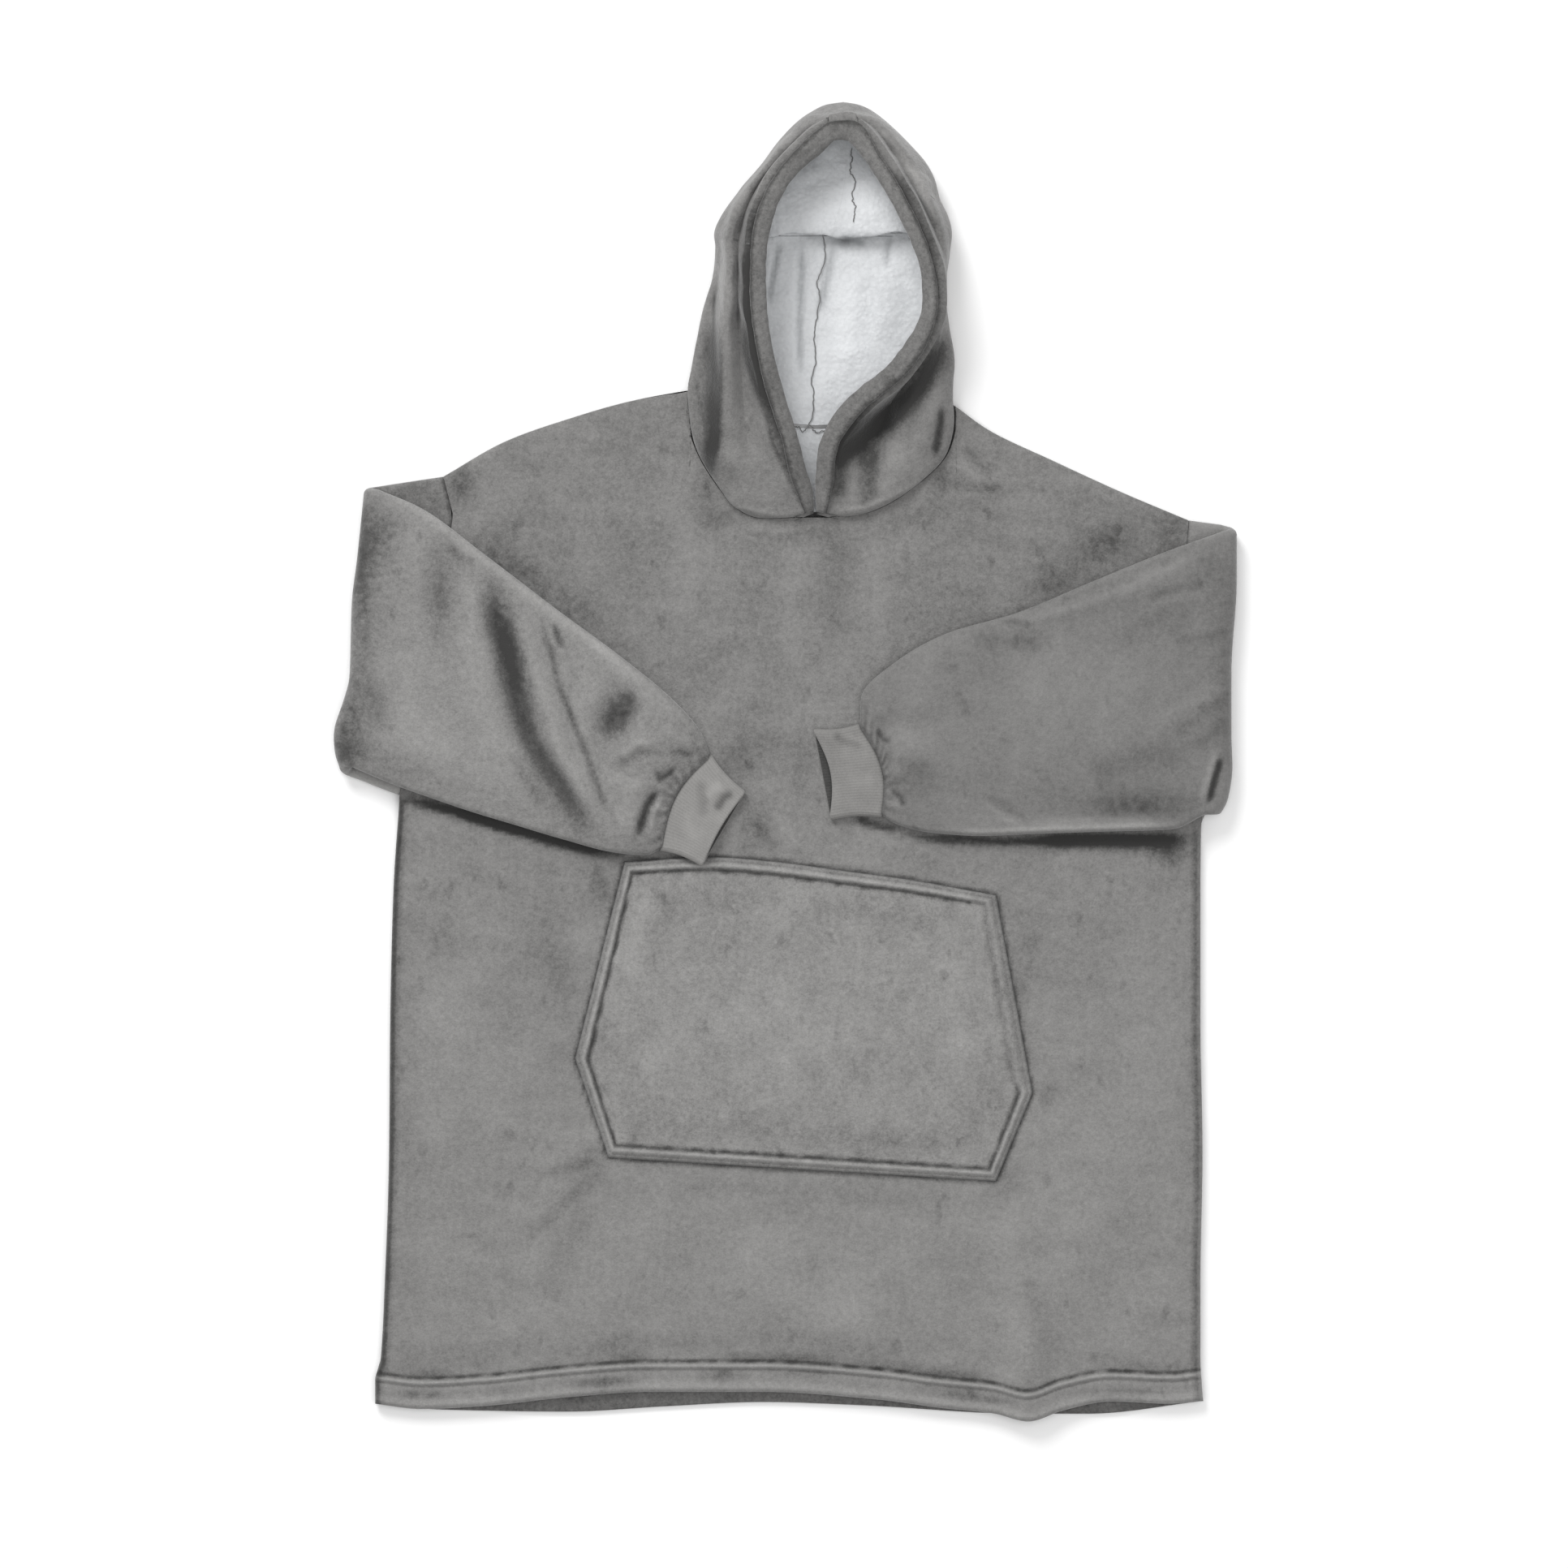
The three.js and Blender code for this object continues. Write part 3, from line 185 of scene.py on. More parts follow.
# %% Hood tables
HOOD = {  # rimX, rimY, sideX, sideY, crestZ, crease, ledgeZ, low, high
    "right": np.array([
        [17, 232, -85, 343, 9.5, 0, 9, 43, 33], [17, 232, -85, 343, 17, 0, 15, 43, 33],
        [8, 254, -87, 354, 30, 7, 20, 34, 29], [-4, 288, -85, 370, 43, 13, 22, 20, 18],
        [-19, 331, -81, 391, 53, 18, 24, 9, 9], [-30, 372, -75, 421, 60, 18, 27, 3, 4],
        [-37, 417, -66, 451, 63, 15, 34, 0, 1], [-38, 455, -63, 480, 64, 12, 41, 0, 0],
        [-36, 487, -64, 494, 63, 10, 42, 0, 0], [-29, 516, -57, 509, 61, 8, 44, 0, 0],
        [-18, 540, -41, 531, 58, 6, 44, 0, 0], [-4, 559, -21, 555, 54, 4, 42, 0, 0],
        [13, 575, -3, 579, 51, 2, 41, 0, 0], [27, 587, 18, 598, 52, 0, 46, 0, 0],
        [39, 597, 43, 600, 58, 0, 58, 0, 0],
    ]),
    "left": np.array([
        [39, 232, 153, 330, 9.5, 0, 9, 27, 34], [39, 232, 153, 330, 17, 0, 16, 27, 34],
        [45, 258, 153, 340, 28, 8, 24, 22, 28], [50, 291, 154, 356, 39, 18, 31, 14, 17],
        [72, 324, 155, 379, 46, 20, 36, 7, 8], [114, 358, 150, 408, 48, 2, 38, 0, 2],
        [145, 411, 146, 444, 51, -8, 38, 0, 0], [145, 455, 150, 474, 52, -8, 40, 0, 0],
        [135, 488, 152, 494, 56, 1, 42, 0, 0], [122, 516, 149, 508, 58, 8, 44, 0, 0],
        [109, 540, 142, 523, 57, 10, 44, 0, 0], [97, 559, 135, 547, 54, 8, 42, 0, 0],
        [86, 575, 118, 570, 52, 4, 41, 0, 0], [76, 588, 88, 597, 52, 0, 46, 0, 0],
        [66, 597, 63, 600, 58, 0, 58, 0, 0],
    ]),
}
HOOD_SEAM = np.array([  # rimZ, sideZ, heelZ, centreX, centreY, centreZ
    [9.5, 6, 2.5, 26, 315, 2.5], [16, 12, 2.5, 26, 320, 2.5], [26, 16, 2.5, 26, 336, 2.5],
    [39, 18, 2.5, 27, 358, 2.5], [52, 20, 2.5, 29, 387, 2.5], [62, 21, 2.5, 32, 422, 2.5],
    [69, 23, 2.5, 35, 456, 2.5], [71, 24, 2.5, 37, 482, 2.5], [71, 24, 3, 40, 495, 3.2],
    [69, 24, 6, 45, 503, 12], [67, 24, 7, 51, 519, 13], [64, 24, 6, 56, 550, 9],
    [61, 26, 8, 57, 585, 7], [59, 36, 26, 54, 612, 27], [58, 58, 58, 53, 601, 58],
])
CREASE_AT, CREST_AT, LEDGE_AT, HEEL_AT, FLOOR_AT = 0.24, 0.52, 0.8, 0.14, 0.5
SIDE_INDEX, LAST_INDEX, LAST_SECTION = 4, 7, 14
print("hood sections", len(HOOD_SEAM))

# %% Sleeve, cuff and pocket tables
FOLD_RADIUS = 8.5
OVER_HEIGHT = FRONT_TOP + REST + EDGE_RADIUS
SLEEVE_AIR = 8.0
CUFF_WALL, CUFF_GAP = 2.4, 3.4
CUFF_HALF = CUFF_WALL + CUFF_GAP / 2
FOLD = {  # y, x
    "right": np.array([[-10, -399], [4, -406], [27, -408], [49, -401], [80, -393], [147, -391],
                       [189, -386], [257, -379]]),
    "left": np.array([[-48, 391], [-33, 399], [-4, 403], [25, 402], [83, 402], [170, 407],
                      [214, 407]]),
}
UNDER = {"right": (258, -18), "left": (222, -47)}
OVER = {  # at, topX, topY, lowX, lowY
    "right": np.array([
        [0, -379, 254, -399, -5], [0.14, -340, 237, -358, -23], [0.32, -280, 193, -304, -43],
        [0.5, -213, 142, -252, -59], [0.68, -152, 97, -205, -73], [0.84, -104, 57, -163, -84],
        [0.95, -77, 26, -130, -88], [1, -70, 8, -118, -83],
    ]),
    "left": np.array([
        [0, 407, 215, 391, -50], [0.14, 354, 196, 360, -63], [0.32, 285, 168, 296, -65],
        [0.5, 215, 139, 236, -67], [0.68, 150, 120, 182, -69], [0.84, 98, 90, 136, -66],
        [0.95, 70, 60, 106, -60], [1, 69, 36, 91, -52],
    ]),
}
CUFFS = {  # topX, topY, lowX, lowY, ride, mouth
    "right": (-38, -27, -79, -97, 6, 3),
    "left": (27, 31, 43, -54, 0, 8),
}
POCKET_CLOTH = 4.0
POCKET_ELBOW = 0.32
POCKET_TOP = through([-150, -68, -8, 52, 112, 196], [-94, -89.5, -94, -102, -110, -125])
POCKET = {  # bottom, elbow, top
    "right": np.array([(-165, -369), (-196, -277), (-150, -94)], float),
    "left": np.array([(196, -391), (230, -309), (196, -125)], float),
}
top_edge = np.array([(x, float(POCKET_TOP(x))) for x in np.linspace(-150, 196, 12)])
RIGHT_EDGE, LEFT_EDGE = POCKET["right"], POCKET["left"]
POCKET_OUTLINE = np.concatenate([RIGHT_EDGE[:2], top_edge, LEFT_EDGE[1::-1], RIGHT_EDGE[:1]])
print("pocket width", LEFT_EDGE[0, 0] - RIGHT_EDGE[0, 0], "mm at the bottom")

# %% [markdown]
# ## Folds, brushed pile and painted shade
#
# On real plush a fold shows twice: the cloth rises or sinks, and the pile along it is brushed so
# that it looks darker or lighter. The shade in a fold's valley and the light on its ridge are
# painted into that darkening and lightening too. A cloth simulation would give folds, but not
# these ones. So each fold is one row of a table: its path in the photograph, how wide and how high
# it is, how much it brightens the pile with brushing, painted shade and painted highlights, and,
# where its two sides differ, how much wider one of them is. Soft patches brush the pile and paint
# shade and light on it without moving the cloth: their rows are a centre, two radii, a turn in
# degrees and a shade. `swell` adds the slow unevenness that no cloth is without.

# %% Fold, patch and swell
def fold(x, y, path, wide, lean=1.0, fading=True):
    """How close each point is to a path: 1 on it, fading to 0 a few widths away."""
    path = np.asarray(path, float)
    best = np.full(x.shape, 1e9)
    share = np.zeros(x.shape)
    side = np.ones(x.shape)
    steps = np.hypot(*np.diff(path, axis=0).T)
    for i, (a, b) in enumerate(zip(path, path[1:])):
        d = b - a
        t = np.clip(((x - a[0]) * d[0] + (y - a[1]) * d[1]) / (d @ d), 0, 1)
        off = np.hypot(x - a[0] - t * d[0], y - a[1] - t * d[1])
        near = off < best
        best = np.where(near, off, best)
        share = np.where(near, (steps[:i].sum() + t * steps[i]) / steps.sum(), share)
        side = np.where(near, np.sign((x - a[0]) * d[1] - (y - a[1]) * d[0]), side)
    width = np.where(side > 0, wide * lean, wide / lean)
    ends = smoothstep(share, -0.02, 0.22) * (1 - smoothstep(share, 0.78, 1.02)) if fading else 1
    return ends * np.exp(-((best / width) ** 2))


def patch(x, y, centre, size, turn=0.0):
    at = place(centre)
    c, s = np.cos(np.radians(turn)), np.sin(np.radians(turn))
    u, v = x - at[0], y - at[1]
    return np.exp(-(((u * c + v * s) / size[0]) ** 2) - ((v * c - u * s) / size[1]) ** 2)


def swell(x, y, size, seed, waves=14):
    rng = np.random.default_rng(seed)
    total = np.zeros(np.broadcast(x, y).shape)
    for angle, phase, pace in rng.random((waves, 3)):
        angle, pace = angle * 2 * np.pi, (0.6 + 0.9 * pace) / size
        total += np.sin((x * np.cos(angle) + y * np.sin(angle)) * pace * 2 * np.pi + phase * 50)
    return total / np.sqrt(waves)


def brushed_and_shaded(x, y, folds=(), patches=()):
    """Height in millimetres, and the pile's brushing with painted shade and highlights, from the
    tables.
    """
    height, nap_and_shade = np.zeros(x.shape), np.zeros(x.shape)
    for path, wide, rise, shade, *lean in folds:
        near = fold(x, y, place(path), wide, *lean)
        height += rise * near
        nap_and_shade += shade * near
    for centre, size, turn, shade in patches:
        ragged = 1 + 0.25 * swell(x, y, 14, int(centre[0]))
        nap_and_shade += shade * patch(x, y, centre, size, turn) * ragged
    return height, nap_and_shade


beside = fold(np.zeros(1), np.full(1, 20.0), [(-50, 0), (50, 0)], 10)
print("two widths away a fold has faded to", round(float(beside[0]), 3))

# %% [markdown]
# ## From grid to mesh
#
# Every piece is a grid of points, row by row. One helper turns such a grid into a mesh of quads,
# stores how the pile is brushed, together with painted shade and painted highlights, as an
# attribute for the material to read, and turns its faces away from a point that is known to be
# behind them. A second one measures the cloth's area.

# %% Grid to mesh
PIECES = {}
SQUARE_METRE = 1e6
FAR = 1e4
BELOW, ABOVE = np.array([0, 0, -FAR]), np.array([0, 0, FAR])
WHOLE_CUT = 0.999


def grid_area(points, closed=False):
    if closed:
        points = np.concatenate([points, points[:, :1]], axis=1)
    across, up = points[1:, 1:] - points[:-1, :-1], points[1:, :-1] - points[:-1, 1:]
    return float(np.linalg.norm(np.cross(across, up), axis=-1).sum() / 2 / SQUARE_METRE)


def make_piece(name, points, behind, nap_and_shade=None, closed=False, extra=None):
    """A mesh from a grid of points. Its faces look away from the point behind them."""
    rows, columns = points.shape[:2]
    ids = np.arange(rows * columns).reshape(rows, columns)
    if closed:
        ids = np.concatenate([ids, ids[:, :1]], axis=1)
    quads = np.stack([ids[:-1, :-1], ids[:-1, 1:], ids[1:, 1:], ids[1:, :-1]], -1).reshape(-1, 4)
    flat = points.reshape(-1, 3)
    corners = flat[quads]
    facing = np.cross(corners[:, 2] - corners[:, 0], corners[:, 3] - corners[:, 1])
    if ((corners.mean(1) - behind) * facing).sum() < 0:
        quads = quads[:, ::-1]
    mesh = bpy.data.meshes.new(name)
    mesh.vertices.add(len(flat))
    mesh.vertices.foreach_set("co", (flat / 1000).ravel())
    mesh.loops.add(quads.size)
    mesh.loops.foreach_set("vertex_index", np.ascontiguousarray(quads).ravel())
    mesh.polygons.add(len(quads))
    mesh.polygons.foreach_set("loop_start", np.arange(0, quads.size, 4))
    mesh.update(calc_edges=True)
    mesh.shade_smooth()
    for key, values in {"nap_and_shade": nap_and_shade, **(extra or {})}.items():
        if values is not None:
            store = mesh.attributes.new(key, "FLOAT", "POINT")
            spread = np.broadcast_to(values, (rows, columns)).astype(float)
            store.data.foreach_set("value", spread.ravel())
    piece = bpy.data.objects.new(name, mesh)
    bpy.context.collection.objects.link(piece)
    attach(piece, "root")
    PIECES[name] = piece
    print(f"{name}: {2 * len(quads)} triangles, {grid_area(points, closed):.3f} square metres")
    return piece


def finish_piece(piece, material, nodes=(), flat=None, area=None):
    """Gives a piece its finish and hides the solids that it stands in for."""
    piece.data.materials.append(material)
    if nodes:
        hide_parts(*nodes)
    if flat:
        area = area and min(area, WHOLE_CUT * flat[0] * flat[1])


# %% [markdown]
# ## Plush, rib and sherpa
#
# Plush is a dense short pile. Each hair tip scatters light, so the cloth has no highlight but a
# soft glow at grazing angles, which is what sheen is for. Its colour is never even: broad marks
# where a hand has brushed it, cloudy patches a few centimetres wide, and a fine grain from tufts.
# Noises of different scales add up with the stored brushing and painted shade and go through one colour
# ramp.
# Sherpa gets rounded curls from a cell pattern, and the rib cuffs get fine lines along them.

# %% Material helpers
CLOTH_GLOSS = 0.15


class Finish:
    """A cloth's material, with the few kinds of node that every cloth here is made of."""

    def __init__(self, name, roughness, sheen=0.0, sheen_roughness=0.5):
        self.material = bpy.data.materials.new(name)
        self.material.use_nodes = True
        self.nodes, self.links = self.material.node_tree.nodes, self.material.node_tree.links
        self.nodes.clear()
        self.shader = self.add("BsdfPrincipled", {
            "Roughness": roughness,
            "Specular IOR Level": CLOTH_GLOSS,
            "Sheen Weight": sheen,
            "Sheen Roughness": sheen_roughness,
            "Sheen Tint": (1, 1, 1, 1),
        })
        self.add("OutputMaterial", {}, {"Surface": self.shader.outputs["BSDF"]})
        self.where = self.add("TexCoord").outputs["Object"]

    def add(self, kind, numbers=(), wires=(), **options):
        """One node. Numbers go into its sockets, and wires join them to other nodes' outputs."""
        node = self.nodes.new("ShaderNode" + kind)
        for option, choice in options.items():
            setattr(node, option, choice)
        for socket, number in dict(numbers).items():
            node.inputs[socket].default_value = number
        for socket, output in dict(wires).items():
            self.links.new(output, node.inputs[socket])
        return node

    def stored(self, name):
        return self.add("Attribute", attribute_name=name).outputs["Fac"]

    def noise(self, scale, detail=3.0, rough=0.55, stretch=None, turn=0.0):
        where = self.where
        if stretch:
            numbers = {"Scale": stretch, "Rotation": (0, 0, turn)}
            where = self.add("Mapping", numbers, {"Vector": where}).outputs["Vector"]
        numbers = {"Scale": scale, "Detail": detail, "Roughness": rough}
        return self.add("TexNoise", numbers, {"Vector": where}).outputs["Fac"]

    def weighted(self, base, parts):
        """base + the sum of (value - middle) * weight, as one chain of maths."""
        total = None
        for value, middle, weight in parts:
            rest = (base if total is None else 0) - middle * weight
            step = self.add("Math", {1: weight, 2: rest}, {0: value}, operation="MULTIPLY_ADD")
            if total is not None:
                step = self.add("Math", {}, {0: total, 1: step.outputs[0]}, operation="ADD")
            total = step.outputs[0]
        return total

    def colour(self, value, stops):
        """The cloth's colour from a value, by a ramp of stops."""
        node = self.add("ValToRGB", {}, {"Fac": value})
        while len(node.color_ramp.elements) < len(stops):
            node.color_ramp.elements.new(0.5)
        for element, (at, level) in zip(node.color_ramp.elements, stops):
            element.position = at
            element.color = (*level, 1)
        self.links.new(node.outputs["Color"], self.shader.inputs["Base Color"])

    def relief(self, height, distance, strength):
        """Pile too fine for the mesh, as bump. The distance is in metres."""
        node = self.add("Bump", {"Strength": strength, "Distance": distance}, {"Height": height})
        self.links.new(node.outputs["Normal"], self.shader.inputs["Normal"])


# %% Plush
# How much the stored brushing and painted shade move the colour.
NAP_AND_SHADE_WEIGHT = 0.34
WARM_GREY = np.array([1.0, 0.985, 0.965])
PLUSH_STOPS = [(0.0, 0.038), (0.22, 0.078), (0.5, 0.188), (0.78, 0.285), (1.0, 0.39)]


def plush(name, level=1.0, grain=1.0):
    """Warm mid-grey pile. level makes a piece a touch lighter or darker than the rest."""
    cloth = Finish(name, 0.95, 0.35, 0.45)
    clouds = cloth.noise(15, 4, 0.6)
    marks = cloth.noise(34, 3, 0.6, (1.0, 0.55, 1.0), 0.35)
    tufts = cloth.noise(210, 3, 0.7)
    hairs = cloth.noise(620, 2, 0.7)
    streaks = cloth.noise(62, 2, 0.5, (1.0, 0.6, 1.0), 0.8)
    flecks = cloth.add("MapRange", {"From Min": 0.64, "From Max": 0.74}, {"Value": streaks})
    value = cloth.weighted(0.5, [
        (cloth.stored("nap_and_shade"), 0.0, NAP_AND_SHADE_WEIGHT),
        (clouds, 0.5, 0.17),
        (marks, 0.5, 0.13),
        (tufts, 0.5, 0.42 * grain),
        (hairs, 0.5, 0.30 * grain),
        (flecks.outputs["Result"], 0.0, -0.10),
    ])
    grey = WARM_GREY * level
    cloth.colour(value, [(at, grey * shade) for at, shade in PLUSH_STOPS])
    cloth.relief(cloth.weighted(0.5, [(tufts, 0.5, 0.8), (hairs, 0.5, 0.5)]), 0.0016, 0.55)
    return cloth.material


PLUSH = plush("plush")
PLUSH_HOOD = plush("plush_hood", 0.97)
PLUSH_RIGHT = plush("plush_sleeve_right", 1.08)
PLUSH_LEFT = plush("plush_sleeve_left", 0.92, 0.75)
PLUSH_POCKET = plush("plush_pocket", 1.22)
print("plush finishes", [m.name for m in bpy.data.materials if m.name.startswith("plush")])


# %% Rib knit
RIB_STOPS = [
    (0.0, (0.03, 0.03, 0.029)),
    (0.25, (0.11, 0.108, 0.105)),
    (0.5, (0.262, 0.257, 0.25)),
    (1.0, (0.44, 0.435, 0.425)),
]


def rib_knit(name):
    cloth = Finish(name, 0.85, 0.15, 0.5)
    clouds = cloth.noise(30, 3)
    fuzz = cloth.noise(700, 2)
    ribs = cloth.add("Math", {}, {0: cloth.stored("rib")}, operation="SINE").outputs[0]
    value = cloth.weighted(0.5, [
        (cloth.stored("nap_and_shade"), 0.0, NAP_AND_SHADE_WEIGHT),
        (clouds, 0.5, 0.16),
        (fuzz, 0.5, 0.14),
        (ribs, 0.0, 0.018),
    ])
    cloth.colour(value, RIB_STOPS)
    cloth.relief(cloth.weighted(0.5, [(ribs, 0.0, 0.12), (fuzz, 0.5, 0.5)]), 0.0006, 0.6)
    return cloth.material


RIB = rib_knit("rib_knit")
print("rib knit has", len(RIB.node_tree.nodes), "nodes")


# %% Sherpa and thread
SHERPA_STOPS = [
    (0.0, (0.09, 0.09, 0.095)),
    (0.35, (0.31, 0.32, 0.33)),
    (0.72, (0.65, 0.662, 0.675)),
    (1.0, (0.74, 0.75, 0.76)),
]


def sherpa(name):
    cloth = Finish(name, 1.0, 0.25, 0.6)
    numbers = {"Scale": 230, "Smoothness": 0.8}
    cells = cloth.add("TexVoronoi", numbers, {"Vector": cloth.where}, feature="SMOOTH_F1")
    curls = cells.outputs["Distance"]
    clouds = cloth.noise(22, 3)
    wool = cloth.noise(420, 3, 0.7)
    value = cloth.weighted(0.72, [
        (cloth.stored("nap_and_shade"), 0.0, NAP_AND_SHADE_WEIGHT),
        (clouds, 0.5, 0.06),
        (curls, 0.35, -0.10),
        (wool, 0.5, 0.16),
    ])
    cloth.colour(value, SHERPA_STOPS)
    cloth.relief(cloth.weighted(0.5, [(curls, 0.35, -0.9), (wool, 0.5, 0.5)]), 0.002, 0.5)
    return cloth.material


def thread(name, grey):
    strand = Finish(name, 0.8)
    strand.colour(strand.noise(900, 2), [(0.2, [grey * 0.7] * 3), (0.8, [grey * 1.3] * 3)])
    return strand.material


SHERPA, THREAD = sherpa("sherpa"), thread("seam_thread", 0.2)
print("finishes", len(bpy.data.materials))

# %% [markdown]
# ## The hood's cloth
#
# The hood is two mirrored halves sewn along a middle seam, each in plush outside and sherpa
# inside. Laid down, its back lies on the floor, its sides roll up and over, and the face opening
# looks at the ceiling. One smooth surface through the sections gives the middle of the cloth. The
# plush lies half a cloth thickness outside it and the lining half a thickness inside.

# %% Middle of the hood's cloth
def hood_sections(half):
    rows, seam = HOOD[half].astype(float), HOOD_SEAM
    rim, side, centre = rows[:, 0:2], rows[:, 2:4], seam[:, 3:5]
    crest, crease, ledge, low, high = rows[:, 4:9].T
    out = unit(side - rim)
    bow = np.stack([out[:, 1], -out[:, 0]], 1) * OUTWARD[half]

    def on(a, b, share, z, sway=0.0):
        flat = lerp(a, b, share) + bow * np.reshape(sway, (-1, 1))
        return np.column_stack([flat, z])

    heel = on(side, centre, HEEL_AT, seam[:, 2])
    floor = on(side, centre, FLOOR_AT, lerp(seam[:, 2], seam[:, 5], 0.8))
    heel[:, 1] = lerp(heel[:, 1], centre[:, 1], 0.25)
    floor[:, 1] = lerp(floor[:, 1], centre[:, 1], 0.6)
    return np.stack([
        on(rim, side, 0, seam[:, 0]),
        on(rim, side, CREASE_AT, crest - crease, 0.85 * low),
        on(rim, side, CREST_AT, crest, (low + high) / 2),
        on(rim, side, LEDGE_AT, ledge, 0.8 * high),
        on(side, side, 0, seam[:, 1]),
        heel, floor, on(centre, centre, 0, seam[:, 5]),
    ])


def hood_middle(half, rows, columns):
    across = spline(hood_sections(half), np.asarray(columns) / LAST_INDEX)
    grid = spline(across.transpose(1, 0, 2), np.asarray(rows) / LAST_SECTION)
    grid[..., 2] = np.maximum(grid[..., 2], CLOTH / 2)
    return grid


def grid_normals(grid):
    return unit(np.cross(np.gradient(grid, axis=0), np.gradient(grid, axis=1)))


def under_hem(half, sheet, middle, reach, drop):
    """The sheet with its edge led on under the rolled hem, along the rim and over the crown."""
    tangent = unit(np.gradient(middle[:, 0], axis=0) * [1, 1, 0])
    inward = np.stack([tangent[:, 1], -tangent[:, 0], 0 * tangent[:, 0]], 1) * -OUTWARD[half]
    sheet = np.concatenate([sheet[:, :1] + inward[:, None] * reach + [0, 0, -drop], sheet], axis=1)
    return np.concatenate([sheet, sheet[-1:] + [0, -reach, -drop]])


HOOD_COLUMNS = np.linspace(0, LAST_INDEX, 120)
even_rows, tuck_rows = np.linspace(0, LAST_SECTION, 150), np.linspace(7.8, 9.8, 50)
HOOD_ROWS = np.unique(np.concatenate([even_rows, tuck_rows]))
FACES_UP = (75, 35, 2)  # the height of the normal at one place on the rolled side
hood_grid, hood_normal = {}, {}
for half in ("right", "left"):
    hood_grid[half] = hood_middle(half, HOOD_ROWS, HOOD_COLUMNS)
    normal = grid_normals(hood_grid[half])
    hood_normal[half] = normal * np.sign(normal[FACES_UP])
shared = hood_normal["right"][:, -1] + hood_normal["left"][:, -1]
shared[:, 0] = 0
for half in ("right", "left"):
    hood_normal[half][:, -1] = unit(shared)
print("hood grid", hood_grid["right"].shape)

# %% [markdown]
# ## The hood's plush
#
# Its folds are what the eye reads first: a dark valley behind the rolled hem on one side, a deep
# one below it on the other, and lit ridges over the crown. The valleys are in the form already.
# The tables sharpen them and paint shade into the pile inside, because little light gets in there, and
# paint highlights on the lit ridges.

# %% Folds of the hood
HOOD_FOLDS = [
    ([(937, 236), (925, 290), (919, 340), (919, 387), (922, 434), (930, 470),
     (941, 510)], 5.5, -2.0, -2.3, 0.9),
    ([(922, 434), (941, 505), (955, 552), (977, 600), (990, 628)], 3.2, -1.2, -1.1),
    ([(930, 465), (944, 520), (963, 567), (987, 625)], 4, 1.5, 0.35, 1.3),
    ([(880, 395), (882, 470), (881, 540), (868, 605)], 7.5, -1.5, -1.9, 1.2),
    ([(881, 346), (880, 420), (882, 480)], 2.5, -0.8, -1.0),
    ([(903, 400), (905, 480), (907, 560), (915, 610)], 11, 1.5, 0.25),
    ([(987, 165), (955, 190), (930, 223), (905, 262)], 5, 1.2, 0.4, 0.8),
    ([(975, 178), (940, 215), (915, 255)], 4, -1.0, -0.5),
    ([(1097, 193), (1120, 217), (1152, 238)], 4, 1.5, 0.35, 1.2),
    ([(1105, 208), (1120, 240), (1136, 275), (1150, 310), (1160, 340)], 4, -1.5, -0.9, 1.2),
    ([(1112, 205), (1135, 235), (1150, 262)], 6, 1.0, 0.3),
    ([(1162, 405), (1156, 434), (1137, 475), (1104, 508), (1071, 528), (1043, 555),
     (1034, 592)], 9.5, -2.0, -2.0),
    ([(1060, 520), (1042, 548), (1033, 580), (1031, 628)], 7, -1.0, -0.7, 1.2),
    ([(1076, 545), (1073, 580), (1071, 628)], 7, -1.8, -0.6),
    ([(1052, 560), (1050, 620)], 6, 1.0, 0.35),
    ([(1105, 540), (1095, 580), (1088, 612)], 9, 1.2, 0.3),
    ([(1161, 500), (1159, 530), (1152, 568)], 4, -1.5, -1.5, 1.2),
    ([(1163, 470), (1140, 520), (1128, 560)], 8, 1.0, 0.3),
    ([(891, 606), (907, 624), (937, 632), (968, 636), (991, 630)], 2.2, 0.9, 0.3),
    ([(1026, 630), (1064, 626), (1102, 611), (1132, 595), (1150, 578)], 2.2, 0.9, 0.3),
]
# Besides brushing, the patches paint shade, such as the deep shade below the rolled hem, and a few lit
# places.
HOOD_PATCHES = [
    ((905, 590), (14, 10), 0, -0.25), ((950, 600), (16, 10), 30, 0.2),
    ((900, 420), (8, 40), 5, 0.1), ((895, 300), (9, 16), 0, -0.3), ((1150, 290), (7, 20), 0, -0.3),
    ((1105, 590), (20, 12), 30, -0.2), ((1040, 600), (9, 14), 0, -0.35),
    ((862, 500), (7, 40), 0, -0.25), ((940, 170), (16, 8), 35, 0.1),
    ((1090, 518), (30, 13), 35, -0.9), ((1060, 560), (16, 18), 0, -0.6),
    ((1118, 575), (18, 13), 20, 0.55), ((1150, 470), (7, 30), 0, 0.3),
    ((1140, 250), (9, 20), 20, 0.25),
]
print("hood folds", len(HOOD_FOLDS), "and patches", len(HOOD_PATCHES))

